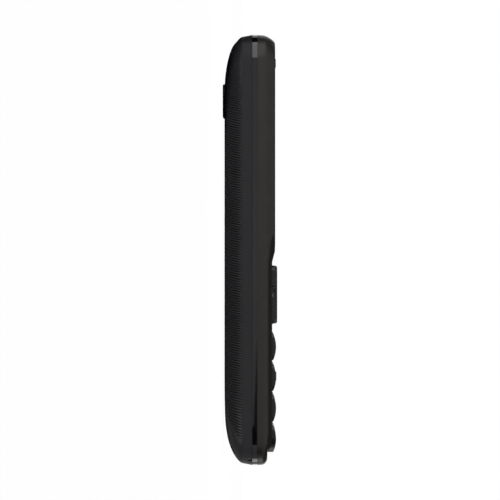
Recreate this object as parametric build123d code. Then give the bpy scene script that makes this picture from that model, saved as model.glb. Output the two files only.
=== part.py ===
from build123d import *

import os
from dataclasses import astuple, dataclass
from math import atan, cos, degrees, radians, sin, sqrt

# Mobile phone of the one-piece keypad kind, lying on its back.
# X is its width, with the user's left at -X, Y runs to its top end, and Z to its front. Sizes in mm.

# Overall size
WIDTH = 50.0
LENGTH = 116.0

# Heights of the layers, each above the one before
ISLAND_STAND = 0.5
COVER_DEPTH = 4.7
HOUSING_DEPTH = 2.65
BAND_DEPTH = 1.5
SIDE_WALL_HEIGHT = 2.05
KEYPAD_RISE = 1.85
DISPLAY_RISE = 2.6

BACK = ISLAND_STAND
COVER_SEAM = BACK + COVER_DEPTH
BAND_BACK = COVER_SEAM + HOUSING_DEPTH
BAND_FRONT = BAND_BACK + BAND_DEPTH
SHOULDER = BAND_FRONT + SIDE_WALL_HEIGHT
KEYPAD_FACE = SHOULDER + KEYPAD_RISE
DISPLAY_FACE = SHOULDER + DISPLAY_RISE

# Walls and the clearances between pieces
COVER_WALL = 1.0
BAND_WALL = 1.3
SEAM_GAP = 0.05
SLIP = 0.1
COVER_CLEARANCE = 0.3
POCKET_CLEARANCE = 0.2
MODULE_CORNER = 1.0

# The outline seen from the front
TOP_CORNER = 6.4
BOTTOM_CORNER = 5.4
END_RADIUS = 300.0
BAND_PROUD = 0.1
COVER_LEAN = 0.5
SHOULDER_LEAN = 0.45

# The flat part of the back, inside the rolled edge
FLAT_SIDE_MARGIN = 5.2
FLAT_TOP_MARGIN = 14.9
FLAT_BOTTOM_MARGIN = 18.8
FLAT_CORNER = 7.5
ROLL_POWER = 1.05
ROLL_STEPS = 4

# The flat front face of the display end, inside its chamfered edge
FACE_SIDE_MARGIN = 1.8
FACE_TOP_MARGIN = 2.1
FACE_BOTTOM_MARGIN = 5.7
FACE_CORNER = 4.6
FACE_EDGE_BREAK = 0.3
STEP_START = -0.3
STEP_END = -3.2
HOLLOW_STEP = -1.6

# Room inside the front housing
HOLLOW_TOP_MARGIN = 3.1
HOLLOW_MARGIN = 0.7
HOLLOW_END_MARGIN = 1.0
KEYPAD_WALL = 1.5
DISPLAY_WALL = 1.75

# Display window, earpiece and display
WINDOW_SIDE_MARGIN = 2.7
WINDOW_TOP_MARGIN = 3.0
WINDOW_BOTTOM = 0.0
WINDOW_TOP_CORNER = 4.0
WINDOW_BOTTOM_CORNER = 1.6
WINDOW_THICKNESS = 1.0
WINDOW_PROUD = 0.05
VIEW_SIDE_BORDER = 1.8
VIEW_TOP_BORDER = 1.4
VIEW_BOTTOM_BORDER = 2.4
PANEL_SIDE_MARGIN = 7.0
PANEL_BOTTOM_OVERLAP = 0.2
PANEL_TOP_GAP = 1.6
PANEL_THICKNESS = 1.5
FRAME_WALL = 0.6
FRAME_FLOOR = 0.75
FLEX_WIDTH = 12.0
FLEX_THICKNESS = 0.15
FLEX_PLUG_LENGTH = 1.3
FLEX_PLUG_HEIGHT = 0.7
EARPIECE_MARGIN = 4.7
EARPIECE_WIDTH = 12.0
EARPIECE_LENGTH = 2.2
EARPIECE_STAND = 0.23
EARPIECE_PORT_WIDTH = 9.0
EARPIECE_PORT_LENGTH = 1.2
EARPIECE_SLOTS = 5
EARPIECE_SLOT_WIDTH = 1.2
EARPIECE_SLOT_LENGTH = 0.7
EARPIECE_SLOT_PITCH = 1.9
RECEIVER_WIDTH = 12.0
RECEIVER_LENGTH = 5.8
RECEIVER_THICKNESS = 2.3
RECEIVER_END_GAP = 0.7

# Keypad
KEYPAD_SIDE_MARGIN = 3.3
KEYPAD_END_MARGIN = 3.95
NAV_GAP = 2.45
KEY_WEB = 0.7
KEY_CLEARANCE = 0.15
KEY_CORNER_CUT = 0.8
KEYPAD_CORNER = 4.0
KEYPAD_CORNER_CUT = 2.8
KEY_STAND = 1.03
KEY_CROWN_DROP = 0.78
KEY_EDGE_BREAK = 0.2
KEY_RIM = 0.25
KEY_TRAVEL = 0.35
POST_WIDTH = 3.0
POST_TIP_GAP = 0.15
PIP_RADIUS = 1.2
PIP_HEIGHT = 0.16
NAV_TOP = -4.2
PAD_WIDTH = 17.8
PAD_LENGTH = 15.6
PAD_CORNER = 4.0
PAD_STAND = 1.38
PAD_EDGE_BREAK = 0.35
PAD_RIM_THICKNESS = 0.6
PAD_DOME_MARGIN = 1.0
SELECT_RADIUS = 3.7
SELECT_STAND = 1.1
SELECT_GAP = 0.25
SOFT_KEY_LENGTH = 6.2
SIDE_KEY_CROWN_RADIUS = 12.0
DOME_WIDTH = 4.4
DOME_HEIGHT = 0.35
DOME_TOP_WIDTH = 2.0
MAT_THICKNESS = 0.8
MAT_CLEARANCE = 0.3
WEB_THICKNESS = 0.45

# Board and what it carries
BOARD_THICKNESS = 0.9
BOARD_SEAT = 0.1
SHIELD_SIDE_MARGIN = 9.0
SHIELD_HEIGHT = 0.9
SHIELD_WALL = 0.2
SHIELD_SPANS = ((2.0, 20.5), (22.5, 44.0))
USB_WIDTH = 7.5
USB_HEIGHT = 2.5
USB_DEPTH = 5.1
USB_WALL = 0.3
USB_TONGUE_WIDTH = 4.0
USB_TONGUE_HEIGHT = 0.7
USB_CORNER = 0.5
USB_RECESS = 0.35
USB_SINK = 0.45
MICROPHONE_X = 9.0
MICROPHONE_END_MARGIN = 4.0
MICROPHONE_RADIUS = 2.0
MICROPHONE_HEIGHT = 1.5
SOUND_HOLE_RADIUS = 0.5

# Battery and its bay
BATTERY_SIDE_MARGIN = 7.8
BATTERY_TOP_MARGIN = 45.0
BATTERY_BOTTOM_GAP = 4.7
BATTERY_THICKNESS = 4.9
BATTERY_EDGE_ROUND = 1.0
CONTACT_WIDTH = 9.0
CONTACT_LENGTH = 3.2
CONTACT_HEIGHT = 3.6
CONTACT_BLADES = 3
CONTACT_BLADE_PITCH = 2.6
CONTACT_BLADE_WIDTH = 1.0
CONTACT_BLADE_REACH = 0.1
CONTACT_BLADE_FOOT = 1.0
SIM_WIDTH = 26.5
SIM_LENGTH = 15.5
SIM_X = -3.0
SIM_MARGIN = 2.0
CARD_WIDTH = 15.0
CARD_LENGTH = 14.0
CARD_X = 5.5
CARD_MARGIN = 5.0
HOLDER_HEIGHT = 1.0
HOLDER_WALL = 0.2
HOLDER_SLOT_MARGIN = 1.0

# Camera, loudspeaker and their island on the back
ISLAND_END_MARGIN = 17.95
ISLAND_WIDTH = 26.0
ISLAND_LENGTH = 8.9
ISLAND_CORNER = 3.2
ISLAND_EDGE_BREAK = 0.3
CAMERA_X = -7.4
CAMERA_BODY_WIDTH = 8.4
CAMERA_BODY_HEIGHT = 4.4
CAMERA_BARREL_RADIUS = 2.9
CAMERA_WINDOW_RADIUS = 3.3
CAMERA_WINDOW_THICKNESS = 0.8
CAMERA_WINDOW_RECESS = 0.2
CAMERA_APERTURE_RADIUS = 2.0
SPEAKER_X = 5.4
SPEAKER_WIDTH = 14.6
SPEAKER_LENGTH = 11.0
SPEAKER_THICKNESS = 3.6
SPEAKER_FLOOR = 0.8
SPEAKER_SLOTS = 5
SPEAKER_SLOT_WIDTH = 0.9
SPEAKER_SLOT_LENGTH = 5.2
SPEAKER_SLOT_PITCH = 1.9
MESH_THICKNESS = 0.25
MESH_MARGIN = 0.8

# Vibration motor, antenna, screws and lanyard eyelet
MOTOR_END_MARGIN = 31.0
MOTOR_SIDE_MARGIN = 4.1
MOTOR_Z = 5.6
MOTOR_RADIUS = 2.0
MOTOR_LENGTH = 8.0
MOTOR_SHAFT_RADIUS = 0.4
MOTOR_SHAFT_CLEARANCE = 0.03
WEIGHT_LENGTH = 3.4
WEIGHT_GAP = 0.5
ANTENNA_SIDE_MARGIN = 8.2
ANTENNA_END_MARGIN = 7.0
ANTENNA_LENGTH = 9.3
ANTENNA_THICKNESS = 3.6
TOP_SCREW_SIDE_MARGIN = 5.0
TOP_SCREW_END_MARGIN = 8.0
MIDDLE_SCREW_SIDE_MARGIN = 4.3
MIDDLE_SCREW_Y = -1.3
SCREW_HEAD_RADIUS = 1.4
SCREW_HEAD_HEIGHT = 0.9
SCREW_SHANK_RADIUS = 0.7
SCREW_SEAT = 4.7
SCREW_LENGTH = 6.6
SCREW_CLEARANCE = 0.2
BOSS_RADIUS = 1.65
SMALL_BORE_SIDES = 8
EYELET_SIDE_MARGIN = 3.4
EYELET_END_MARGIN = 0.4
EYELET_INNER_RADIUS = 1.5
EYELET_OUTER_RADIUS = 2.6
EYELET_HEIGHT = 1.1
EYELET_DROP = 0.05
PRY_NOTCH_WIDTH = 8.0
PRY_NOTCH_DEPTH = 0.7
PRY_NOTCH_HEIGHT = 0.6
CLIP_LENGTH = 5.0
CLIP_REACH = 0.15
CLIP_HEIGHT = 0.8
CLIP_PLACES = (-26.0, 4.0, 30.0)
PAST = 5.0


@dataclass(frozen=True)
class Outline:
    """The phone seen from the front at one height: straight sides, bowed ends and round corners."""

    half_width: float
    top: float
    bottom: float
    top_corner: float
    bottom_corner: float
    end_radius: float

    def inset(self, wall):
        """The same outline drawn in by a wall all round."""
        return Outline(
            self.half_width - wall,
            self.top - wall,
            self.bottom + wall,
            self.top_corner - wall,
            self.bottom_corner - wall,
            self.end_radius - wall,
        )

    def towards(self, other, share):
        """The outline that lies a share of the way to another."""
        pairs = zip(astuple(self), astuple(other))
        return Outline(*(here + (there - here) * share for here, there in pairs))

    def end(self, edge, corner, way):
        """Side point, corner arc and end point of the +X corner at one end, as plane points."""
        arc_centre = edge - way * self.end_radius
        reach = self.end_radius - corner
        corner_x = self.half_width - corner
        corner_y = arc_centre + way * sqrt(reach**2 - corner_x**2)
        lean_x = corner_x / reach
        lean_y = (corner_y - arc_centre) / reach
        halfway = sqrt((1 + lean_x) ** 2 + lean_y**2)
        side = (self.half_width, corner_y)
        middle = (corner_x + corner * (1 + lean_x) / halfway, corner_y + corner * lean_y / halfway)
        meet = (corner_x + corner * lean_x, corner_y + corner * lean_y)
        return side, middle, meet

    def face(self, height):
        """The closed face at a height."""
        top_side, top_middle, top_meet = self.end(self.top, self.top_corner, 1)
        low_side, low_middle, low_meet = self.end(self.bottom, self.bottom_corner, -1)
        edges = [
            Line(low_side, top_side),
            ThreePointArc(top_side, top_middle, top_meet),
            ThreePointArc(top_meet, (0, self.top), mirrored(top_meet)),
            ThreePointArc(mirrored(top_meet), mirrored(top_middle), mirrored(top_side)),
            Line(mirrored(top_side), mirrored(low_side)),
            ThreePointArc(mirrored(low_side), mirrored(low_middle), mirrored(low_meet)),
            ThreePointArc(mirrored(low_meet), (0, self.bottom), low_meet),
            ThreePointArc(low_meet, low_middle, low_side),
        ]
        return Pos(0, 0, height) * make_face(edges)

    def solid(self, back, front):
        """The outline as a straight block between two heights."""
        return extrude(self.face(back), front - back)


def mirrored(point):
    """The same point on the other side of the phone."""
    return (-point[0], point[1])


BAND = Outline(WIDTH / 2, LENGTH / 2, -LENGTH / 2, TOP_CORNER, BOTTOM_CORNER, END_RADIUS)
RIM = BAND.inset(BAND_PROUD)
COVER_EDGE = RIM.inset(COVER_LEAN)
SHOULDER_EDGE = RIM.inset(SHOULDER_LEAN)
BACK_FLAT = Outline(
    BAND.half_width - FLAT_SIDE_MARGIN,
    BAND.top - FLAT_TOP_MARGIN,
    BAND.bottom + FLAT_BOTTOM_MARGIN,
    FLAT_CORNER,
    FLAT_CORNER,
    END_RADIUS,
)
FACE = Outline(
    BAND.half_width - FACE_SIDE_MARGIN,
    BAND.top - FACE_TOP_MARGIN,
    BAND.bottom + FACE_BOTTOM_MARGIN,
    FACE_CORNER,
    FACE_CORNER,
    END_RADIUS,
)
WINDOW = Outline(
    BAND.half_width - WINDOW_SIDE_MARGIN,
    BAND.top - WINDOW_TOP_MARGIN,
    WINDOW_BOTTOM,
    WINDOW_TOP_CORNER,
    WINDOW_BOTTOM_CORNER,
    END_RADIUS,
)

# Heights that several pieces share
COVER_INNER = BACK + COVER_WALL
DECK_BACK = COVER_INNER + COVER_CLEARANCE
BATTERY_BACK = COVER_INNER + POCKET_CLEARANCE
BATTERY_FRONT = BATTERY_BACK + BATTERY_THICKNESS
BAY_FLOOR = BATTERY_FRONT + POCKET_CLEARANCE
BOARD_BACK = BAND_BACK + BOARD_SEAT
BOARD_FRONT = BOARD_BACK + BOARD_THICKNESS
DOME_TOP = BOARD_FRONT + DOME_HEIGHT
POST_TIP = DOME_TOP + POST_TIP_GAP + KEY_TRAVEL
MAT_BACK = DOME_TOP + POCKET_CLEARANCE
MAT_FRONT = MAT_BACK + MAT_THICKNESS
KEY_FOOT = MAT_FRONT + KEY_TRAVEL + SLIP
KEYPAD_CEILING = KEYPAD_FACE - KEYPAD_WALL
KEY_RIM_FRONT = KEYPAD_CEILING - SLIP
DISPLAY_CEILING = DISPLAY_FACE - DISPLAY_WALL
WINDOW_FRONT = DISPLAY_FACE + WINDOW_PROUD
WINDOW_BACK = WINDOW_FRONT - WINDOW_THICKNESS
WINDOW_SEAT = WINDOW_BACK - SEAM_GAP
PANEL_FRONT = DISPLAY_CEILING - SLIP
PANEL_BACK = PANEL_FRONT - PANEL_THICKNESS
FRAME_BACK = PANEL_BACK - SEAM_GAP - FRAME_FLOOR
USB_BACK = BAND_BACK + USB_SINK - USB_HEIGHT + SLIP
USB_MOUTH = RIM.top - USB_RECESS
CAMERA_FRONT = BAND_BACK - POCKET_CLEARANCE
CAMERA_BACK = CAMERA_FRONT - CAMERA_BODY_HEIGHT
SPEAKER_BACK = DECK_BACK + SPEAKER_FLOOR + SLIP

# Places on the keypad
KEY_NAMES = (
    ("key_1", "key_2", "key_3"),
    ("key_4", "key_5", "key_6"),
    ("key_7", "key_8", "key_9"),
    ("key_star", "key_0", "key_hash"),
)
KEY_GAP = KEY_WEB + 2 * KEY_CLEARANCE
KEYPAD_EDGE = BAND.half_width - KEYPAD_SIDE_MARGIN
KEYPAD_BOTTOM = BAND.bottom + KEYPAD_END_MARGIN
NAV_BOTTOM = NAV_TOP - PAD_LENGTH
KEYPAD_TOP = NAV_BOTTOM - NAV_GAP
KEY_COLUMN_PITCH = (2 * KEYPAD_EDGE + KEY_GAP) / len(KEY_NAMES[0])
KEY_ROW_PITCH = (KEYPAD_TOP - KEYPAD_BOTTOM + KEY_GAP) / len(KEY_NAMES)
KEY_WIDTH = KEY_COLUMN_PITCH - KEY_GAP
KEY_LENGTH = KEY_ROW_PITCH - KEY_GAP
FIRST_ROW_Y = KEYPAD_TOP - KEY_LENGTH / 2
KEY_CROWN_RADIUS = (KEY_LENGTH**2 / 4 + KEY_CROWN_DROP**2) / (2 * KEY_CROWN_DROP)
PAD_Y = (NAV_TOP + NAV_BOTTOM) / 2
PAD_DOME_X = PAD_WIDTH / 2 - DOME_WIDTH / 2 - PAD_DOME_MARGIN
PAD_DOME_Y = PAD_LENGTH / 2 - DOME_WIDTH / 2 - PAD_DOME_MARGIN
SIDE_KEY_INNER = PAD_WIDTH / 2 + KEY_GAP
SIDE_KEY_WIDTH = KEYPAD_EDGE - SIDE_KEY_INNER
SIDE_KEY_X = (KEYPAD_EDGE + SIDE_KEY_INNER) / 2
SOFT_KEY_Y = NAV_TOP - SOFT_KEY_LENGTH / 2
CALL_KEY_LENGTH = PAD_LENGTH - SOFT_KEY_LENGTH - KEY_GAP
CALL_KEY_Y = NAV_BOTTOM + CALL_KEY_LENGTH / 2

# The room behind the face, and the places of what it holds
HOLLOW = Outline(
    KEYPAD_EDGE + HOLLOW_MARGIN,
    BAND.top - HOLLOW_TOP_MARGIN,
    KEYPAD_BOTTOM - HOLLOW_END_MARGIN,
    KEYPAD_CORNER,
    KEYPAD_CORNER + HOLLOW_MARGIN,
    END_RADIUS,
)
EARPIECE_Y = WINDOW.top - EARPIECE_MARGIN
RECEIVER_Y = HOLLOW.top - RECEIVER_END_GAP - RECEIVER_LENGTH / 2
PANEL_TOP = RECEIVER_Y - RECEIVER_LENGTH / 2 - PANEL_TOP_GAP
PANEL_BOTTOM = WINDOW.bottom - PANEL_BOTTOM_OVERLAP
PANEL_WIDTH = WIDTH - 2 * PANEL_SIDE_MARGIN
PANEL_LENGTH = PANEL_TOP - PANEL_BOTTOM
PANEL_Y = (PANEL_TOP + PANEL_BOTTOM) / 2
VIEW_WIDTH = PANEL_WIDTH - 2 * VIEW_SIDE_BORDER
VIEW_LENGTH = PANEL_LENGTH - VIEW_TOP_BORDER - VIEW_BOTTOM_BORDER
VIEW_Y = PANEL_Y + (VIEW_BOTTOM_BORDER - VIEW_TOP_BORDER) / 2
SHIELD_WIDTH = WIDTH - 2 * SHIELD_SIDE_MARGIN

# Places in the rear housing
ANTENNA_WIDTH = WIDTH - 2 * ANTENNA_SIDE_MARGIN
ANTENNA_BOTTOM = BAND.bottom + ANTENNA_END_MARGIN
ANTENNA_TOP = ANTENNA_BOTTOM + ANTENNA_LENGTH
BATTERY_BOTTOM = ANTENNA_TOP + BATTERY_BOTTOM_GAP
BATTERY_TOP = BAND.top - BATTERY_TOP_MARGIN
BATTERY_WIDTH = WIDTH - 2 * BATTERY_SIDE_MARGIN
BATTERY_LENGTH = BATTERY_TOP - BATTERY_BOTTOM
BATTERY_Y = (BATTERY_TOP + BATTERY_BOTTOM) / 2
SIM_Y = BATTERY_BOTTOM + SIM_MARGIN + SIM_LENGTH / 2
CARD_Y = BATTERY_TOP - CARD_MARGIN - CARD_LENGTH / 2
ISLAND_Y = BAND.top - ISLAND_END_MARGIN
MOTOR_Y = BAND.top - MOTOR_END_MARGIN
WEIGHT_END = MOTOR_SIDE_MARGIN - BAND.half_width
MOTOR_END = WEIGHT_END + WEIGHT_LENGTH + WEIGHT_GAP + MOTOR_LENGTH
MICROPHONE_Y = BAND.bottom + MICROPHONE_END_MARGIN
EYELET_X = EYELET_SIDE_MARGIN - BAND.half_width
EYELET_Y = BAND.bottom + EYELET_END_MARGIN
SCREW_PLACES = (
    (BAND.half_width - TOP_SCREW_SIDE_MARGIN, BAND.top - TOP_SCREW_END_MARGIN),
    (BAND.half_width - MIDDLE_SCREW_SIDE_MARGIN, MIDDLE_SCREW_Y),
)


def plate(width, length, back, front, corner=0.0, x=0.0, y=0.0):
    """Flat block between two heights, with round corners where a radius is given."""
    profile = RectangleRounded(width, length, corner) if corner else Rectangle(width, length)
    return Pos(x, y, back) * extrude(profile, front - back)


def rod(radius, back, front, x=0.0, y=0.0):
    """Round block between two heights."""
    return Pos(x, y, back) * extrude(Circle(radius), front - back)


def small_bore(radius, back, front, x, y):
    """Eight-sided block round a radius, for the small pins and bores that repeat."""
    profile = RegularPolygon(radius, SMALL_BORE_SIDES, major_radius=False)
    return Pos(x, y, back) * extrude(profile, front - back)


def lying_rod(radius, left, right, y, z):
    """Round bar along the width."""
    return Pos((left + right) / 2, y, z) * Rot(0, 90, 0) * Cylinder(radius, right - left)


def row(count, pitch):
    """Places of equal pitch, centred on zero."""
    return [(step - (count - 1) / 2) * pitch for step in range(count)]


def back_form(inset):
    """Everything inside the back's surface, drawn in: the flat back and its rolled edge up to the seam."""
    edge = COVER_EDGE.inset(inset)
    height = COVER_DEPTH - inset
    sections = []
    for step in range(ROLL_STEPS + 1):
        turn = radians(90 * step / ROLL_STEPS)
        drawn_in = 1 - abs(cos(turn)) ** ROLL_POWER
        down = height * sin(turn) ** ROLL_POWER
        sections.append(edge.towards(BACK_FLAT, drawn_in).face(COVER_SEAM - down))
    return loft(sections, ruled=True)


def leaning_block(face, rise, lean):
    """Block that rises from a face, or falls if the rise is negative, and narrows all round by the lean."""
    taper = degrees(atan(lean / abs(rise)))
    return extrude(face, amount=rise, taper=taper)


def screw_places():
    """Centres of the four housing screws."""
    return [(way * x, y) for x, y in SCREW_PLACES for way in (-1, 1)]


def key_places():
    """Name, centre and outer side of each number key; the outer side is 0 unless it is a lower corner key."""
    last = len(KEY_NAMES) - 1
    for line, names in enumerate(KEY_NAMES):
        for side, (name, x) in enumerate(zip(names, row(len(names), KEY_COLUMN_PITCH)), start=-1):
            yield name, x, FIRST_ROW_Y - line * KEY_ROW_PITCH, side if line == last else 0


def side_key_places():
    """Name, centre and length of the four keys beside the direction pad."""
    return (
        ("soft_key_left", -SIDE_KEY_X, SOFT_KEY_Y, SOFT_KEY_LENGTH),
        ("soft_key_right", SIDE_KEY_X, SOFT_KEY_Y, SOFT_KEY_LENGTH),
        ("call_key", -SIDE_KEY_X, CALL_KEY_Y, CALL_KEY_LENGTH),
        ("end_key", SIDE_KEY_X, CALL_KEY_Y, CALL_KEY_LENGTH),
    )


def plain_key_centres():
    """Centres of every key that is worked by one dome under its middle."""
    centres = [(x, y) for _, x, y, _ in key_places()]
    centres += [(x, y) for _, x, y, _ in side_key_places()]
    return centres + [(0, PAD_Y)]


def pad_dome_centres():
    """Centres of the four domes under the direction pad's edges."""
    return [
        (-PAD_DOME_X, PAD_Y),
        (PAD_DOME_X, PAD_Y),
        (0, PAD_Y - PAD_DOME_Y),
        (0, PAD_Y + PAD_DOME_Y),
    ]


def battery_cover():
    """Thin bowl over the whole back, with a port for the island and snap clips along its sides."""
    cover = back_form(0) - back_form(COVER_WALL)
    cover -= plate(
        ISLAND_WIDTH + 2 * SLIP,
        ISLAND_LENGTH + 2 * SLIP,
        BACK - PAST,
        COVER_SEAM,
        ISLAND_CORNER + SLIP,
        y=ISLAND_Y,
    )
    wall_x = COVER_EDGE.half_width - COVER_WALL
    for way in (-1, 1):
        for y in CLIP_PLACES:
            clip = Pos(way * wall_x, y, COVER_SEAM - CLIP_HEIGHT / 2) * Box(
                2 * CLIP_REACH, CLIP_LENGTH, CLIP_HEIGHT
            )
            cover += clip
    return cover


def rear_housing():
    """Moulded chassis: the leaning side wall, the deck under the cover and the pockets for what it holds."""
    wall_foot = COVER_SEAM + SEAM_GAP
    housing = leaning_block(RIM.face(BAND_BACK), wall_foot - BAND_BACK, COVER_LEAN)
    housing += back_form(COVER_WALL + COVER_CLEARANCE)
    housing += COVER_EDGE.inset(COVER_WALL + COVER_CLEARANCE).solid(COVER_SEAM, wall_foot)
    housing -= battery_bay()
    housing -= module_pockets()
    housing -= usb_port(BAND_BACK)
    for x, y in screw_places():
        housing -= small_bore(SCREW_SHANK_RADIUS + SCREW_CLEARANCE, BACK, BAND_FRONT, x, y)
        housing -= small_bore(SCREW_HEAD_RADIUS + SCREW_CLEARANCE, BACK, SCREW_SEAT, x, y)
    housing -= eyelet_channel()
    housing -= Pos(0, COVER_EDGE.bottom, wall_foot) * Box(
        PRY_NOTCH_WIDTH, 2 * PRY_NOTCH_DEPTH, 2 * PRY_NOTCH_HEIGHT
    )
    return housing


def battery_bay():
    """Bay for the battery, with the holes in its floor for the two card holders and the contacts."""
    clear = 2 * POCKET_CLEARANCE
    bay = plate(
        BATTERY_WIDTH + clear,
        BATTERY_LENGTH + clear,
        BACK,
        BAY_FLOOR,
        y=BATTERY_Y,
    )
    bay += plate(SIM_WIDTH + clear, SIM_LENGTH + clear, BATTERY_FRONT, BAND_FRONT, x=SIM_X, y=SIM_Y)
    bay += plate(CARD_WIDTH + clear, CARD_LENGTH + clear, BATTERY_FRONT, BAND_FRONT, x=CARD_X, y=CARD_Y)
    bay += plate(
        CONTACT_WIDTH + clear,
        CONTACT_LENGTH + clear,
        BOARD_BACK - CONTACT_HEIGHT - POCKET_CLEARANCE,
        BAND_FRONT,
        y=contact_y(),
    )
    return bay


def contact_y():
    """Middle of the battery contact block, just past the battery's top end."""
    return BATTERY_Y + BATTERY_LENGTH / 2 + POCKET_CLEARANCE + CONTACT_LENGTH / 2


def module_pockets():
    """Pockets open to the front for the camera, loudspeaker, motor, antenna and microphone."""
    clear = 2 * POCKET_CLEARANCE
    pockets = plate(
        CAMERA_BODY_WIDTH + clear,
        CAMERA_BODY_WIDTH + clear,
        CAMERA_BACK - SLIP,
        BAND_FRONT,
        x=CAMERA_X,
        y=ISLAND_Y,
    )
    pockets += rod(CAMERA_BARREL_RADIUS + POCKET_CLEARANCE, BACK, CAMERA_FRONT, CAMERA_X, ISLAND_Y)
    pockets += plate(
        SPEAKER_WIDTH + clear,
        SPEAKER_LENGTH + clear,
        DECK_BACK + SPEAKER_FLOOR,
        BAND_FRONT,
        x=SPEAKER_X,
        y=ISLAND_Y,
    )
    pockets += plate(
        (SPEAKER_SLOTS - 1) * SPEAKER_SLOT_PITCH + SPEAKER_SLOT_WIDTH,
        SPEAKER_SLOT_LENGTH,
        BACK,
        SPEAKER_BACK,
        x=SPEAKER_X,
        y=ISLAND_Y,
    )
    pocket_left = WEIGHT_END - POCKET_CLEARANCE
    pocket_right = MOTOR_END + POCKET_CLEARANCE
    pockets += plate(
        pocket_right - pocket_left,
        2 * MOTOR_RADIUS + clear,
        MOTOR_Z - MOTOR_RADIUS - POCKET_CLEARANCE,
        BAND_FRONT,
        x=(pocket_left + pocket_right) / 2,
        y=MOTOR_Y,
    )
    pockets += plate(
        ANTENNA_WIDTH + clear,
        ANTENNA_TOP - ANTENNA_BOTTOM + clear,
        BAND_BACK - ANTENNA_THICKNESS - SLIP,
        BAND_FRONT,
        y=(ANTENNA_TOP + ANTENNA_BOTTOM) / 2,
    )
    microphone_back = BOARD_BACK - MICROPHONE_HEIGHT - POCKET_CLEARANCE
    pockets += rod(
        MICROPHONE_RADIUS + POCKET_CLEARANCE, microphone_back, BAND_FRONT, MICROPHONE_X, MICROPHONE_Y
    )
    sound_height = microphone_back + SOUND_HOLE_RADIUS + POCKET_CLEARANCE
    pockets += (
        Pos(MICROPHONE_X, MICROPHONE_Y - PAST, sound_height)
        * Rot(90, 0, 0)
        * Cylinder(SOUND_HOLE_RADIUS, 2 * PAST)
    )
    return pockets


def eyelet_channel():
    """Curved channel round the lanyard post in the user's lower left corner."""
    front = BAND_BACK - EYELET_DROP
    back = front - EYELET_HEIGHT
    ring = rod(EYELET_OUTER_RADIUS, back, front, EYELET_X, EYELET_Y)
    return ring - rod(EYELET_INNER_RADIUS, back, front, EYELET_X, EYELET_Y)


def usb_port(front):
    """Room for the data socket, open past the top end and up to a height."""
    length = USB_DEPTH + POCKET_CLEARANCE + PAST
    inner_end = USB_MOUTH - USB_DEPTH - POCKET_CLEARANCE
    width = USB_WIDTH + 2 * POCKET_CLEARANCE
    return plate(width, length, USB_BACK - POCKET_CLEARANCE, front, y=inner_end + length / 2)


def trim_band():
    """Polished ring between the rear and the front housing."""
    band = BAND.solid(BAND_BACK, BAND_FRONT)
    band -= BAND.inset(BAND_WALL).solid(BAND_BACK, BAND_FRONT)
    return band - usb_port(USB_BACK + USB_HEIGHT + POCKET_CLEARANCE)


def front_housing():
    """Front shell with its chamfered edge, the window's recess and a hole for every key."""
    shell = leaning_block(RIM.face(BAND_FRONT), SIDE_WALL_HEIGHT, SHOULDER_LEAN)
    chamfer_end = SHOULDER_EDGE.towards(FACE, 1 - FACE_EDGE_BREAK / DISPLAY_RISE)
    sections = [
        SHOULDER_EDGE.face(SHOULDER),
        chamfer_end.face(DISPLAY_FACE - FACE_EDGE_BREAK),
        FACE.inset(FACE_EDGE_BREAK).face(DISPLAY_FACE),
    ]
    shell += loft(sections, ruled=True)
    shell -= keypad_step()
    shell -= split_at_step(HOLLOW.solid(BAND_FRONT - PAST, DISPLAY_CEILING), True)
    shell -= split_at_step(HOLLOW.solid(BAND_FRONT - PAST, KEYPAD_CEILING), False)
    shell -= WINDOW.inset(-SLIP).solid(WINDOW_SEAT, DISPLAY_FACE + PAST)
    shell -= plate(VIEW_WIDTH, VIEW_LENGTH, BAND_FRONT, DISPLAY_FACE, y=VIEW_Y)
    shell -= plate(EARPIECE_PORT_WIDTH, EARPIECE_PORT_LENGTH, BAND_FRONT, DISPLAY_FACE, y=EARPIECE_Y)
    for hole in key_holes():
        shell -= hole
    for x, y in screw_places():
        shell += small_bore(BOSS_RADIUS, BOARD_FRONT + BOARD_SEAT, DISPLAY_CEILING, x, y)
        shell -= small_bore(SCREW_SHANK_RADIUS, BOARD_FRONT, SCREW_SEAT + SCREW_LENGTH + SLIP, x, y)
    return shell


def keypad_step():
    """What is cut off the front below the display: the slope and the lower face of the keypad."""
    far = -LENGTH
    high = DISPLAY_FACE + PAST
    corners = [
        (STEP_START, DISPLAY_FACE),
        (STEP_END, KEYPAD_FACE),
        (far, KEYPAD_FACE),
        (far, high),
        (STEP_START, high),
    ]
    profile = make_face(Polyline(*corners, close=True))
    return extrude(Plane.YZ * profile, WIDTH, both=True)


def split_at_step(block, display_side):
    """The part of a block on one side of the step between display and keypad."""
    way = 1 if display_side else -1
    return block & Pos(0, HOLLOW_STEP + way * LENGTH, 0) * Box(2 * WIDTH, 2 * LENGTH, LENGTH)


def key_outline(width, length, grow=0.0, outer=0):
    """Key's outline with cut corners, grown all round; the cut on its lower outer side may be larger."""
    cut_growth = grow * (2 - sqrt(2))
    sides = Rectangle(width + 2 * grow, length + 2 * grow)
    lower_outer = [corner for corner in sides.vertices() if corner.X * outer > 0 and corner.Y < 0]
    others = [corner for corner in sides.vertices() if corner not in lower_outer]
    shape = chamfer(others, KEY_CORNER_CUT + cut_growth)
    if outer:
        corner = shape.vertices().sort_by(lambda vertex: outer * vertex.X - vertex.Y)[-1]
        shape = chamfer(corner, KEYPAD_CORNER_CUT + cut_growth)
    return shape


def key_block(outline, back, front):
    """A key's outline as a straight block between two heights."""
    return Pos(0, 0, back) * extrude(outline, front - back)


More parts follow.
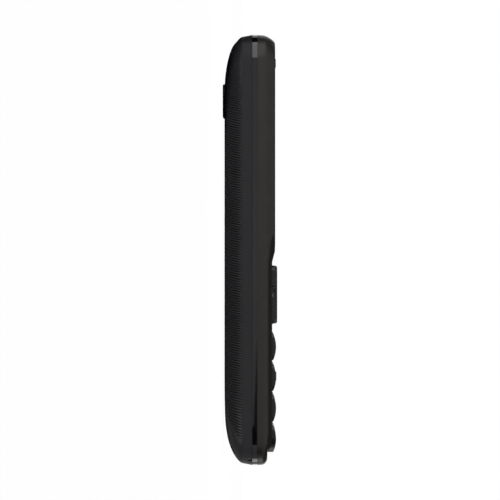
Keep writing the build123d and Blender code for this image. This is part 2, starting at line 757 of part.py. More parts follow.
def key_holes():
    """One hole through the front face for each key, larger than the key by its clearance."""
    back, front = BAND_FRONT, KEYPAD_FACE + PAST
    holes = []
    for _, x, y, outer in key_places():
        outline = key_outline(KEY_WIDTH, KEY_LENGTH, KEY_CLEARANCE, outer)
        holes.append(Pos(x, y, 0) * key_block(outline, back, front))
    for _, x, y, length in side_key_places():
        outline = key_outline(SIDE_KEY_WIDTH, length, KEY_CLEARANCE)
        holes.append(Pos(x, y, 0) * key_block(outline, back, front))
    width, length = pad_opening()
    holes.append(plate(width, length, back, front, PAD_CORNER + KEY_CLEARANCE, y=PAD_Y))
    return holes


def display_window():
    """Clear window over the display and the earpiece, with a slot for the earpiece trim."""
    window = WINDOW.solid(WINDOW_BACK, WINDOW_FRONT)
    slot = SlotOverall(EARPIECE_WIDTH + 2 * SLIP, EARPIECE_LENGTH + 2 * SLIP)
    return window - Pos(0, EARPIECE_Y, WINDOW_BACK) * extrude(slot, WINDOW_THICKNESS)


def earpiece_grille():
    """Metal trim over the earpiece, standing slightly proud of the window, with sound slots."""
    front = WINDOW_FRONT + EARPIECE_STAND
    trim = Pos(0, EARPIECE_Y, WINDOW_BACK) * extrude(
        SlotOverall(EARPIECE_WIDTH, EARPIECE_LENGTH), front - WINDOW_BACK
    )
    for x in row(EARPIECE_SLOTS, EARPIECE_SLOT_PITCH):
        trim -= plate(EARPIECE_SLOT_WIDTH, EARPIECE_SLOT_LENGTH, WINDOW_BACK, front, x=x, y=EARPIECE_Y)
    return trim


def key_cap(width, length, crown_radius, outer=0):
    """Key at its own centre: crowned cap, retaining rim under the housing and the post over its dome."""
    peak = KEYPAD_FACE + KEY_STAND
    cap = key_block(key_outline(width, length, 0, outer), KEY_FOOT, peak)
    cap &= Pos(0, 0, peak - crown_radius) * Rot(0, 90, 0) * Cylinder(crown_radius, 2 * width)
    cap += key_block(key_outline(width, length, KEY_RIM, outer), KEY_FOOT, KEY_RIM_FRONT)
    return cap + plate(POST_WIDTH, POST_WIDTH, POST_TIP, KEY_FOOT)


def five_pip():
    """Raised pip on the middle number key, which the thumb finds."""
    peak = KEYPAD_FACE + KEY_STAND
    pip = rod(PIP_RADIUS, peak - PIP_HEIGHT, peak + PIP_HEIGHT)
    return chamfer(pip.faces().sort_by(Axis.Z)[-1].edges(), PIP_HEIGHT / 2)


def direction_pad():
    """Flat-topped pad with a round hole for the select key."""
    front = KEYPAD_FACE + PAD_STAND
    foot = KEY_FOOT + SLIP
    pad = plate(PAD_WIDTH, PAD_LENGTH, foot, front, PAD_CORNER)
    pad = chamfer(pad.faces().sort_by(Axis.Z)[-1].edges(), PAD_EDGE_BREAK)
    pad += plate(
        PAD_WIDTH + 2 * KEY_RIM, PAD_LENGTH + 2 * KEY_RIM, foot, foot + PAD_RIM_THICKNESS, PAD_CORNER
    )
    return Pos(0, PAD_Y, 0) * (pad - rod(SELECT_RADIUS + SELECT_GAP, foot, front))


def select_key():
    """Round key in the middle of the direction pad."""
    front = KEYPAD_FACE + SELECT_STAND
    cap = rod(SELECT_RADIUS, KEY_FOOT, front)
    cap = chamfer(cap.faces().sort_by(Axis.Z)[-1].edges(), KEY_EDGE_BREAK)
    return Pos(0, PAD_Y, 0) * (cap + plate(POST_WIDTH, POST_WIDTH, POST_TIP, KEY_FOOT))


def pad_opening():
    """Side lengths of the mat's opening under the direction pad."""
    return PAD_WIDTH + 2 * KEY_CLEARANCE, PAD_LENGTH + 2 * KEY_CLEARANCE


def keypad_mat():
    """Silicone mat behind the keys, with a hole round each key's post and an opening for the pad's web."""
    mat = HOLLOW.inset(MAT_CLEARANCE).solid(MAT_BACK, MAT_FRONT)
    mat = split_at_step(mat, False) & Pos(0, STEP_END - LENGTH, 0) * Box(2 * WIDTH, 2 * LENGTH, LENGTH)
    width, length = pad_opening()
    mat -= plate(width, length, MAT_BACK, MAT_FRONT, y=PAD_Y)
    hole = POST_WIDTH + 2 * MAT_CLEARANCE
    for x, y in plain_key_centres():
        mat -= plate(hole, hole, MAT_BACK, MAT_FRONT, x=x, y=y)
    return mat


def pad_web():
    """Silicone web under the direction pad, with a plunger over each of its four domes."""
    width, length = pad_opening()
    margin = 2 * MAT_CLEARANCE
    back = MAT_FRONT - WEB_THICKNESS
    web = plate(width - margin, length - margin, back, MAT_FRONT, y=PAD_Y)
    hole = POST_WIDTH + margin
    web -= plate(hole, hole, back, MAT_FRONT, y=PAD_Y)
    for x, y in pad_dome_centres():
        web += plate(DOME_TOP_WIDTH, DOME_TOP_WIDTH, POST_TIP, back, x=x, y=y)
    return web


def key_domes():
    """Four-legged snap domes on the board, one under each key and each side of the direction pad."""
    foot = Pos(0, 0, BOARD_FRONT) * Rectangle(DOME_WIDTH, DOME_WIDTH)
    dome = leaning_block(foot, DOME_HEIGHT, (DOME_WIDTH - DOME_TOP_WIDTH) / 2)
    return [Pos(x, y, 0) * dome for x, y in plain_key_centres() + pad_dome_centres()]


def main_board():
    """Circuit board over the whole length, notched for the data socket and drilled for the screws."""
    board = BAND.inset(BAND_WALL + POCKET_CLEARANCE).solid(BOARD_BACK, BOARD_FRONT)
    board -= usb_port(BOARD_FRONT)
    for x, y in screw_places():
        board -= small_bore(SCREW_SHANK_RADIUS + SCREW_CLEARANCE, BOARD_BACK, BOARD_FRONT, x, y)
    return board


def shield_cans():
    """Two thin metal cans over the circuits behind the display, open towards the board."""
    cans = []
    for low, high in SHIELD_SPANS:
        middle = (low + high) / 2
        front = BOARD_FRONT + SHIELD_HEIGHT
        can = plate(SHIELD_WIDTH, high - low, BOARD_FRONT, front, y=middle)
        room = plate(
            SHIELD_WIDTH - 2 * SHIELD_WALL,
            high - low - 2 * SHIELD_WALL,
            BOARD_FRONT,
            front - SHIELD_WALL,
            y=middle,
        )
        cans.append(can - room)
    return cans


def display_panel():
    """Glass display panel behind the window."""
    return plate(PANEL_WIDTH, PANEL_LENGTH, PANEL_BACK, PANEL_FRONT, y=PANEL_Y)


def display_frame():
    """Tray that carries the display panel and its backlight."""
    room = 2 * SLIP
    wall = 2 * FRAME_WALL
    tray = plate(PANEL_WIDTH + room + wall, PANEL_LENGTH + room + wall, FRAME_BACK, PANEL_FRONT, y=PANEL_Y)
    floor = FRAME_BACK + FRAME_FLOOR
    return tray - plate(PANEL_WIDTH + room, PANEL_LENGTH + room, floor, PANEL_FRONT, y=PANEL_Y)


def display_flex():
    """Ribbon that bends from the display tray down to its plug on the board."""
    edge = PANEL_Y - PANEL_LENGTH / 2 - SLIP - FRAME_WALL
    outer = edge - SLIP - FLEX_THICKNESS
    plug_top = BOARD_FRONT + FLEX_PLUG_HEIGHT
    path = [
        (edge - SLIP, PANEL_BACK),
        (outer, PANEL_BACK),
        (outer, plug_top + FLEX_THICKNESS),
        (outer - FLEX_PLUG_LENGTH, plug_top + FLEX_THICKNESS),
        (outer - FLEX_PLUG_LENGTH, plug_top),
        (edge - SLIP, plug_top),
    ]
    ribbon = extrude(Plane.YZ * make_face(Polyline(*path, close=True)), FLEX_WIDTH / 2, both=True)
    plug_y = outer - FLEX_PLUG_LENGTH / 2
    return ribbon + plate(FLEX_WIDTH, FLEX_PLUG_LENGTH, BOARD_FRONT, plug_top, y=plug_y)


def earpiece_receiver():
    """Small loudspeaker for the ear, seated under the front face."""
    back = PANEL_FRONT - RECEIVER_THICKNESS
    return plate(RECEIVER_WIDTH, RECEIVER_LENGTH, back, PANEL_FRONT, MODULE_CORNER, y=RECEIVER_Y)


def battery():
    """Flat rechargeable pack with rounded long edges."""
    pack = plate(BATTERY_WIDTH, BATTERY_LENGTH, BATTERY_BACK, BATTERY_FRONT, y=BATTERY_Y)
    return fillet(pack.edges().filter_by(Axis.Y), BATTERY_EDGE_ROUND)


def battery_contacts():
    """Contact block on the board, with leaf springs reaching to the battery's top end."""
    back = BOARD_BACK - CONTACT_HEIGHT
    block = plate(CONTACT_WIDTH, CONTACT_LENGTH, back, BOARD_BACK, y=contact_y())
    edge = contact_y() - CONTACT_LENGTH / 2
    for x in row(CONTACT_BLADES, CONTACT_BLADE_PITCH):
        block += plate(
            CONTACT_BLADE_WIDTH,
            2 * CONTACT_BLADE_REACH,
            back + CONTACT_BLADE_FOOT,
            BATTERY_FRONT,
            x=x,
            y=edge,
        )
    return block


def card_holder(width, length, x, y):
    """Low metal frame on the board's back with a slot for a card, open at its lower end."""
    back = BOARD_BACK - HOLDER_HEIGHT
    frame = plate(width, length, back, BOARD_BACK, x=x, y=y)
    slot_width = width - 2 * HOLDER_SLOT_MARGIN
    slot_y = y - HOLDER_SLOT_MARGIN
    return frame - plate(
        slot_width, length, back + HOLDER_WALL, BOARD_BACK - HOLDER_WALL, x=x, y=slot_y
    )


def camera_bezel():
    """Island on the back that frames the camera window and the loudspeaker's slots."""
    front = DECK_BACK - SEAM_GAP
    island = plate(ISLAND_WIDTH, ISLAND_LENGTH, 0, front, ISLAND_CORNER, y=ISLAND_Y)
    island = chamfer(island.faces().sort_by(Axis.Z)[0].edges(), ISLAND_EDGE_BREAK)
    recess = CAMERA_WINDOW_RECESS + CAMERA_WINDOW_THICKNESS + SEAM_GAP
    island -= rod(CAMERA_WINDOW_RADIUS + SEAM_GAP, 0, recess, CAMERA_X, ISLAND_Y)
    island -= rod(CAMERA_APERTURE_RADIUS, 0, front, CAMERA_X, ISLAND_Y)
    for x in row(SPEAKER_SLOTS, SPEAKER_SLOT_PITCH):
        island -= plate(SPEAKER_SLOT_WIDTH, SPEAKER_SLOT_LENGTH, 0, front, x=SPEAKER_X + x, y=ISLAND_Y)
    width, length = mesh_size()
    seat = front - MESH_THICKNESS - SEAM_GAP
    return island - plate(width + 2 * SEAM_GAP, length + 2 * SEAM_GAP, seat, front, x=SPEAKER_X, y=ISLAND_Y)


def mesh_size():
    """Side lengths of the mesh that covers all the loudspeaker slots."""
    width = (SPEAKER_SLOTS - 1) * SPEAKER_SLOT_PITCH + SPEAKER_SLOT_WIDTH
    return width + 2 * MESH_MARGIN, SPEAKER_SLOT_LENGTH + 2 * MESH_MARGIN


def speaker_mesh():
    """Dust mesh between the island's slots and the loudspeaker."""
    width, length = mesh_size()
    front = DECK_BACK - SEAM_GAP
    return plate(width, length, front - MESH_THICKNESS, front, x=SPEAKER_X, y=ISLAND_Y)


def camera_window():
    """Round window over the camera, set slightly below the island's face."""
    back = CAMERA_WINDOW_RECESS
    return rod(CAMERA_WINDOW_RADIUS, back, back + CAMERA_WINDOW_THICKNESS, CAMERA_X, ISLAND_Y)


def camera_module():
    """Camera block with its lens barrel towards the back."""
    block = plate(CAMERA_BODY_WIDTH, CAMERA_BODY_WIDTH, CAMERA_BACK, CAMERA_FRONT, x=CAMERA_X, y=ISLAND_Y)
    return block + rod(CAMERA_BARREL_RADIUS, DECK_BACK, CAMERA_BACK, CAMERA_X, ISLAND_Y)


def loudspeaker():
    """Ringer loudspeaker over the slots of the island."""
    front = SPEAKER_BACK + SPEAKER_THICKNESS
    return plate(SPEAKER_WIDTH, SPEAKER_LENGTH, SPEAKER_BACK, front, MODULE_CORNER, SPEAKER_X, ISLAND_Y)


def vibration_motor():
    """Small motor can with its shaft towards the user's left."""
    left = MOTOR_END - MOTOR_LENGTH
    can = lying_rod(MOTOR_RADIUS, left, MOTOR_END, MOTOR_Y, MOTOR_Z)
    return can + lying_rod(MOTOR_SHAFT_RADIUS, WEIGHT_END, left, MOTOR_Y, MOTOR_Z)


def vibration_weight():
    """Half-round weight on the motor's shaft."""
    left = WEIGHT_END
    right = left + WEIGHT_LENGTH
    weight = lying_rod(MOTOR_RADIUS, left, right, MOTOR_Y, MOTOR_Z)
    hub = lying_rod(2 * MOTOR_SHAFT_RADIUS, left, right, MOTOR_Y, MOTOR_Z)
    upper = Pos((left + right) / 2, MOTOR_Y, MOTOR_Z + MOTOR_RADIUS) * Box(
        WEIGHT_LENGTH, 2 * MOTOR_RADIUS, 2 * MOTOR_RADIUS
    )
    bore = lying_rod(MOTOR_SHAFT_RADIUS + MOTOR_SHAFT_CLEARANCE, left, right, MOTOR_Y, MOTOR_Z)
    return weight - upper + hub - bore


def antenna_carrier():
    """Plastic carrier for the aerial, in the lower end of the rear housing."""
    width = ANTENNA_WIDTH
    length = ANTENNA_TOP - ANTENNA_BOTTOM
    back = BAND_BACK - ANTENNA_THICKNESS
    middle = (ANTENNA_TOP + ANTENNA_BOTTOM) / 2
    carrier = plate(width, length, back, BAND_BACK, MODULE_CORNER, y=middle)
    return carrier - plate(
        width - 2 * COVER_WALL, length - 2 * COVER_WALL, back + COVER_WALL, BAND_BACK, y=middle
    )


def microphone():
    """Microphone capsule under the board at the lower end."""
    return rod(MICROPHONE_RADIUS, BOARD_BACK - MICROPHONE_HEIGHT, BOARD_BACK, MICROPHONE_X, MICROPHONE_Y)


def usb_socket():
    """Data and charging socket: a thin shell with its tongue, open at the top end."""
    front = USB_BACK + USB_HEIGHT
    middle = USB_MOUTH - USB_DEPTH / 2
    shell = plate(USB_WIDTH, USB_DEPTH, USB_BACK, front, USB_CORNER, y=middle)
    room = plate(
        USB_WIDTH - 2 * USB_WALL,
        USB_DEPTH,
        USB_BACK + USB_WALL,
        front - USB_WALL,
        y=middle + USB_WALL,
    )
    tongue_middle = (USB_BACK + front) / 2
    tongue = plate(
        USB_TONGUE_WIDTH,
        USB_DEPTH - 2 * USB_WALL,
        tongue_middle - USB_TONGUE_HEIGHT / 2,
        tongue_middle + USB_TONGUE_HEIGHT / 2,
        y=middle - USB_WALL,
    )
    return shell - room + tongue


def housing_screws():
    """Four screws from the back, with their heads on the rear housing and their threads in the front one."""
    screws = []
    for x, y in screw_places():
        head = rod(SCREW_HEAD_RADIUS, SCREW_SEAT - SCREW_HEAD_HEIGHT, SCREW_SEAT, x, y)
        shank = small_bore(SCREW_SHANK_RADIUS, SCREW_SEAT, SCREW_SEAT + SCREW_LENGTH, x, y)
        screws.append(head + shank)
    return screws


def all_nodes():
    """Every piece of the phone by name."""
    nodes = {
        "battery_cover": battery_cover(),
        "rear_housing": rear_housing(),
        "trim_band": trim_band(),
        "front_housing": front_housing(),
        "display_window": display_window(),
        "earpiece_grille": earpiece_grille(),
        "direction_pad": direction_pad(),
        "select_key": select_key(),
        "pad_web": pad_web(),
        "keypad_mat": keypad_mat(),
        "key_domes": key_domes(),
        "main_board": main_board(),
        "shield_cans": shield_cans(),
        "display_panel": display_panel(),
        "display_frame": display_frame(),
        "display_flex": display_flex(),
        "earpiece_receiver": earpiece_receiver(),
        "battery": battery(),
        "battery_contacts": battery_contacts(),
        "sim_holder": card_holder(SIM_WIDTH, SIM_LENGTH, SIM_X, SIM_Y),
        "memory_card_holder": card_holder(CARD_WIDTH, CARD_LENGTH, CARD_X, CARD_Y),
        "camera_bezel": camera_bezel(),
        "camera_window": camera_window(),
        "camera_module": camera_module(),
        "speaker_mesh": speaker_mesh(),
        "loudspeaker": loudspeaker(),
        "vibration_motor": vibration_motor(),
        "vibration_weight": vibration_weight(),
        "antenna_carrier": antenna_carrier(),
        "microphone": microphone(),
        "usb_socket": usb_socket(),
        "housing_screws": housing_screws(),
    }
    for name, x, y, length in side_key_places():
        nodes[name] = Pos(x, y, 0) * key_cap(SIDE_KEY_WIDTH, length, SIDE_KEY_CROWN_RADIUS)
    for name, x, y, outer in key_places():
        cap = key_cap(KEY_WIDTH, KEY_LENGTH, KEY_CROWN_RADIUS, outer)
        nodes[name] = Pos(x, y, 0) * (cap + five_pip() if name == "key_5" else cap)
    return nodes


os.makedirs("parts", exist_ok=True)
for name, shape in all_nodes().items():
    solids = shape if isinstance(shape, list) else shape.solids()
    whole = Compound(children=list(solids)) if len(solids) > 1 else solids[0]
    export_step(whole, f"parts/{name}.step")
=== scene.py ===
"""Visual model of a slim keypad phone that lies on its back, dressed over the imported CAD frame.

Sizes are in millimetres until a piece is placed. +Z is the phone's front, +Y its top end and -X the
user's left, which is the side that the camera looks at.
"""

import logging
from dataclasses import astuple, dataclass
from enum import Enum
from math import atan2, cos, hypot, pi, radians, sin, sqrt
from typing import Iterable, NamedTuple, Sequence

import bmesh
import bpy
import numpy as np
from bmesh.types import BMEdge, BMesh, BMFace, BMVert
from mathutils import Matrix, Vector


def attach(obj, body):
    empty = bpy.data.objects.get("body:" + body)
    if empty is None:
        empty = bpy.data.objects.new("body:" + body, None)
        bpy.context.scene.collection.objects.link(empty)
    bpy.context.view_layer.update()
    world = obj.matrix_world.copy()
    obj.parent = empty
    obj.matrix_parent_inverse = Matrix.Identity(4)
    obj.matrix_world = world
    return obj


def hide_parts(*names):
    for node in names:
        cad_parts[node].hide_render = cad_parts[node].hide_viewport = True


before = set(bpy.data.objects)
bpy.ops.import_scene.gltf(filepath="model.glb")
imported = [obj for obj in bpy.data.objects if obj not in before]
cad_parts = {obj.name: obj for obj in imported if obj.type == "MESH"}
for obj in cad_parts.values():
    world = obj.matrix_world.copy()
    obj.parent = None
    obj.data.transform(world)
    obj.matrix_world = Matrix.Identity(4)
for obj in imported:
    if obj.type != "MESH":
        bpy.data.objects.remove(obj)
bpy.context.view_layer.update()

MM = 0.001
Place = tuple[float, float, float]
Zone = tuple[float, float]
Table = tuple[Zone, ...]
log = logging.getLogger("phone")

# The share of its full range that a noise texture really uses.
NOISE_LOW, NOISE_HIGH = 0.3, 0.7
# Distance between the bands of a wave texture whose scale is one.
WAVE_PERIOD = 0.314
# Middles along the length of what the front housing shows.
DISPLAY_Y = 23.8
EARPIECE_Y = 50.3
WHITE, PALE, BLACK = (1.0, 1.0, 1.0, 1.0), (0.8, 0.8, 0.8, 1.0), (0.0, 0.0, 0.0, 1.0)


# Colour, nodes and finishes.


def linear(code: str) -> tuple[float, float, float, float]:
    """Turns an sRGB colour into the linear one that the shaders take.

    Args:
        code: The colour as six hex digits after a hash sign.

    Returns:
        Red, green, blue and an alpha of one.
    """
    parts = [int(code[at : at + 2], 16) / 255 for at in (1, 3, 5)]
    red, green, blue = (p / 12.92 if p <= 0.04045 else ((p + 0.055) / 1.055) ** 2.4 for p in parts)
    return red, green, blue, 1.0


def add_node(
    tree: bpy.types.NodeTree,
    kind: str,
    values: dict | None = None,
    links: dict | None = None,
    **settings: object,
) -> bpy.types.Node:
    """Adds one shader node.

    Args:
        tree: The tree that gets the node.
        kind: The node's type without the words ShaderNode.
        values: Numbers and colours for its input sockets, by socket name or index.
        links: Sockets of other nodes that feed its inputs, by socket name or index.
        settings: The node's own options.

    Returns:
        The new node.
    """
    node = tree.nodes.new("ShaderNode" + kind)
    for key, value in settings.items():
        setattr(node, key, value)
    for key, value in (values or {}).items():
        node.inputs[key].default_value = value
    for key, source in (links or {}).items():
        tree.links.new(source, node.inputs[key])
    return node


class Grain(Enum):
    """How a surface's fine texture was made."""

    SPARK_ERODED = "even stipple of a spark-eroded mould"
    POLISHED = "no grain, only a faint waviness"
    BRUSHED = "fine lines along the length"
    WOVEN = "crossed wires of a fine mesh"


class Surface:
    """What a piece is made of: a principled shader, which each kind of surface dresses in its own way."""

    name: str
    ior: float
    coat: float
    coat_roughness: float

    def material(self) -> bpy.types.Material:
        """Gives the surface's material, which is made once.

        Returns:
            The Blender material.
        """
        known = bpy.data.materials.get(self.name)
        if known:
            return known
        made = bpy.data.materials.new(self.name)
        made.use_nodes = True
        tree = made.node_tree
        shader = tree.nodes["Principled BSDF"]
        shader.inputs["IOR"].default_value = self.ior
        shader.inputs["Coat Weight"].default_value = self.coat
        shader.inputs["Coat Roughness"].default_value = self.coat_roughness
        self.dress(tree, shader, add_node(tree, "TexCoord").outputs["Object"])
        return made

    def dress(self, tree: bpy.types.NodeTree, shader: bpy.types.Node, spot: bpy.types.NodeSocket) -> None:
        """Fills in what is special to the kind of surface.

        Args:
            tree: The material's tree.
            shader: Its Principled BSDF node.
            spot: Object coordinates.
        """
        raise NotImplementedError


@dataclass(frozen=True)
class Finish(Surface):
    """A real material with the way its surface was made.

    The colour's soft patches and the grain are measured in millimetres. A grain of brushed lines is a
    streak of noise, and the smears in the roughness are smaller than the patches.
    """

    name: str
    colour: str
    second: str
    roughness: float
    spread: float = 0.06
    patch: float = 9.0
    grain: Grain = Grain.SPARK_ERODED
    grain_size: float = 0.16
    grain_depth: float = 0.004
    metallic: float = 0.0
    ior: float = 1.5
    specular: float = 0.5
    coat: float = 0.0
    coat_roughness: float = 0.08
    smears_per_patch: float = 2.3
    streak: float = 0.03

    def dress(self, tree: bpy.types.NodeTree, shader: bpy.types.Node, spot: bpy.types.NodeSocket) -> None:
        """Fills in colour, roughness and grain.

        Args:
            tree: The material's tree.
            shader: Its Principled BSDF node.
            spot: Object coordinates.
        """
        shader.inputs["Metallic"].default_value = self.metallic
        shader.inputs["Specular IOR Level"].default_value = self.specular
        tree.links.new(self.colour_at(tree, spot), shader.inputs["Base Color"])
        tree.links.new(self.roughness_at(tree, spot), shader.inputs["Roughness"])
        tree.links.new(self.bump_at(tree, spot), shader.inputs["Normal"])

    def colour_at(self, tree: bpy.types.NodeTree, spot: bpy.types.NodeSocket) -> bpy.types.NodeSocket:
        """Soft patches between the two colours.

        Args:
            tree: The material's tree.
            spot: Object coordinates.

        Returns:
            The colour's socket.
        """
        size = 1 / (self.patch * MM)
        cloud = add_node(tree, "TexNoise", {"Scale": size, "Detail": 3.0}, {"Vector": spot}).outputs["Fac"]
        colours = {6: linear(self.colour), 7: linear(self.second)}
        return add_node(tree, "Mix", colours, {0: cloud}, data_type="RGBA").outputs[2]

    def roughness_at(self, tree: bpy.types.NodeTree, spot: bpy.types.NodeSocket) -> bpy.types.NodeSocket:
        """Roughness that wanders a little, as handling leaves it.

        Args:
            tree: The material's tree.
            spot: Object coordinates.

        Returns:
            The roughness socket.
        """
        size = self.smears_per_patch / (self.patch * MM)
        smear = add_node(tree, "TexNoise", {"Scale": size, "Detail": 4.0}, {"Vector": spot}).outputs["Fac"]
        levels = {
            "From Min": NOISE_LOW,
            "From Max": NOISE_HIGH,
            "To Min": self.roughness - self.spread,
            "To Max": self.roughness + self.spread,
        }
        return add_node(tree, "MapRange", levels, {"Value": smear}).outputs["Result"]

    def bump_at(self, tree: bpy.types.NodeTree, spot: bpy.types.NodeSocket) -> bpy.types.NodeSocket:
        """The fine texture as a bump.

        Args:
            tree: The material's tree.
            spot: Object coordinates.

        Returns:
            The normal's socket.
        """
        size = 1 / (self.grain_size * MM)
        if self.grain is Grain.BRUSHED:
            along = add_node(tree, "Mapping", {"Scale": (1.0, self.streak, 1.0)}, {"Vector": spot})
            spot = along.outputs["Vector"]
        if self.grain is Grain.WOVEN:
            # A wire and the gap beside it, each one grain wide, make one period.
            period = {"Scale": size * WAVE_PERIOD / 2, "Distortion": 0.0}
            warp, weft = (
                add_node(tree, "TexWave", period, {"Vector": spot}, wave_type="BANDS", bands_direction=way)
                for way in ("X", "Y")
            )
            wires = {0: warp.outputs["Fac"], 1: weft.outputs["Fac"]}
            height = add_node(tree, "Math", links=wires, operation="MAXIMUM").outputs[0]
        else:
            fine = {"Scale": size, "Detail": 1.0 if self.grain is Grain.POLISHED else 2.5}
            height = add_node(tree, "TexNoise", fine, {"Vector": spot}).outputs["Fac"]
        depth = {"Strength": 1.0, "Distance": self.grain_depth * MM}
        return add_node(tree, "Bump", depth, {"Height": height}).outputs["Normal"]


# Ribbed cover: moulded ABS blend with a dry satin skin, so the ribs read as fine dark and grey lines.
# Its colours are a shade darker than the side wall's copy of the same blend: painted shade of the ribs and
# the tilted back.
RIBBED_ABS = Finish("moulded_abs_ribbed_cover", "#17171a", "#1d1d20", 0.36, specular=0.42)
# Side wall: the same blend from a smoother mould, slightly bluish; the cover's copy of it is written a shade
# darker as painted shade.
SIDE_ABS = Finish("moulded_abs_side_wall", "#1a1a1d", "#1f1f22", 0.36, grain_depth=0.002, specular=0.42)
# Band: black lacquer polished to a mirror, dark face on and white where it turns away.
BLACK_LACQUER = Finish(
    "polished_black_lacquer_band", "#050505", "#080808", 0.05, 0.015, 14.0, Grain.POLISHED, 3.0, 0.0005
)
# Front shell: polycarbonate with a warm dark tint and a fine satin stipple.
FRONT_SHELL = Finish(
    "moulded_polycarbonate_front_shell", "#141210", "#181512", 0.38, grain_depth=0.002, specular=0.28
)
# Keys: moulded polycarbonate caps, glossy on the crown, where a soft streak runs across each dome.
KEY_CAPS = Finish(
    "moulded_polycarbonate_key_caps", "#0f0e0d", "#141211", 0.28, 0.05, 5.0, Grain.POLISHED, 1.5, 0.003,
    specular=0.34,
)
# Direction pad: hard-coated polycarbonate, a little darker and calmer than the keys.
PAD_CAP = Finish(
    "hard_coated_polycarbonate_pad", "#0f0e0e", "#131211", 0.28, 0.04, 6.0, Grain.POLISHED, 1.5, 0.002,
    specular=0.22,
)
# Earpiece trim: brushed and darkened steel.
EARPIECE_STEEL = Finish(
    "brushed_steel_earpiece_trim", "#4a4a4c", "#565658", 0.3, 0.06, 4.0, Grain.BRUSHED, 0.12, 0.003, 1.0
)
# Island: fine-textured ABS, its colour a shade lighter than the ribbed cover round it, as painted light
# against the table's contact shadow.
ISLAND_ABS = Finish("moulded_abs_camera_island", "#1a1a1c", "#202022", 0.34, grain_depth=0.003)
# Socket and contacts: tin-plated steel, dull silver with a soft shine.
TINNED_STEEL = Finish(
    "tin_plated_steel", "#b6b5b0", "#a3a29d", 0.3, 0.08, 3.0, Grain.BRUSHED, 0.1, 0.002, 1.0
)
# Screws: black-oxide steel, dark grey with brighter worn patches.
BLACK_STEEL = Finish(
    "black_oxide_steel_screws", "#3b3a3a", "#5a5958", 0.36, 0.08, 1.2, Grain.SPARK_ERODED, 0.1, 0.002, 1.0
)
# Frames and shields: stamped stainless sheet with a cool even sheen.
STAMPED_STEEL = Finish(
    "stamped_stainless_sheet", "#a8abad", "#989b9d", 0.32, 0.07, 5.0, Grain.BRUSHED, 0.15, 0.003, 1.0
)
# Motor weight: sintered tungsten alloy, grey and slightly grainy.
TUNGSTEN = Finish(
    "sintered_tungsten_weight", "#77767a", "#68676b", 0.42, 0.06, 1.5, Grain.SPARK_ERODED, 0.08, 0.004, 1.0
)
# Speaker mesh: woven stainless wire, which shows as a fine dark grid.
WIRE_MESH = Finish(
    "woven_stainless_mesh", "#2e2e30", "#39393b", 0.45, 0.05, 2.0, Grain.WOVEN, 0.3, 0.05, 0.8
)
# Board: glass-epoxy laminate under green solder mask, glossy over a faint weave.
SOLDER_MASK = Finish(
    "solder_mask_on_glass_epoxy", "#1d4a31", "#235a3b", 0.28, 0.06, 4.0, Grain.WOVEN, 0.5, 0.006, coat=0.3
)
# Screen: bare display glass, switched off, near black with a blue cast.
SCREEN_GLASS = Finish(
    "switched_off_display_glass", "#101318", "#13171d", 0.06, 0.02, 20.0, Grain.POLISHED, 6.0, 0.001, ior=1.52
)
# Flex: copper under amber polyimide film, glossy.
POLYIMIDE = Finish(
    "polyimide_film_over_copper", "#8a4a14", "#a35c1c", 0.25, 0.05, 2.0, Grain.BRUSHED, 0.3, 0.003, coat=0.3
)
# Inner plastic: glass-filled nylon, black and dull with a faint mottle.
NYLON = Finish("glass_filled_nylon", "#1b1b1b", "#262626", 0.55, 0.08, 2.0)
# Aerial carrier: natural liquid-crystal polymer, dull ivory.
POLYMER_CARRIER = Finish("liquid_crystal_polymer_carrier", "#b9ae94", "#aca187", 0.5, 0.06, 4.0)
# Keypad mat: translucent silicone rubber, grey-white and matt.
SILICONE = Finish(
    "moulded_silicone_rubber", "#9a9c9d", "#8f9192", 0.6, 0.05, 6.0, Grain.SPARK_ERODED, 0.2, 0.003, ior=1.41
)
# Battery: printed polyester wrap over an aluminium can, smooth grey.
BATTERY_WRAP = Finish(
    "polyester_battery_wrap", "#5d6166", "#676b70", 0.34, 0.05, 12.0, Grain.POLISHED, 4.0, 0.01
)
# Key marks: pad-printed ink, thin, matt and pale.
WHITE_INK = Finish(
    "pad_printed_white_ink", "#c9cac9", "#bfc0bf", 0.5, 0.04, 1.0, grain_size=0.1, grain_depth=0.001
)


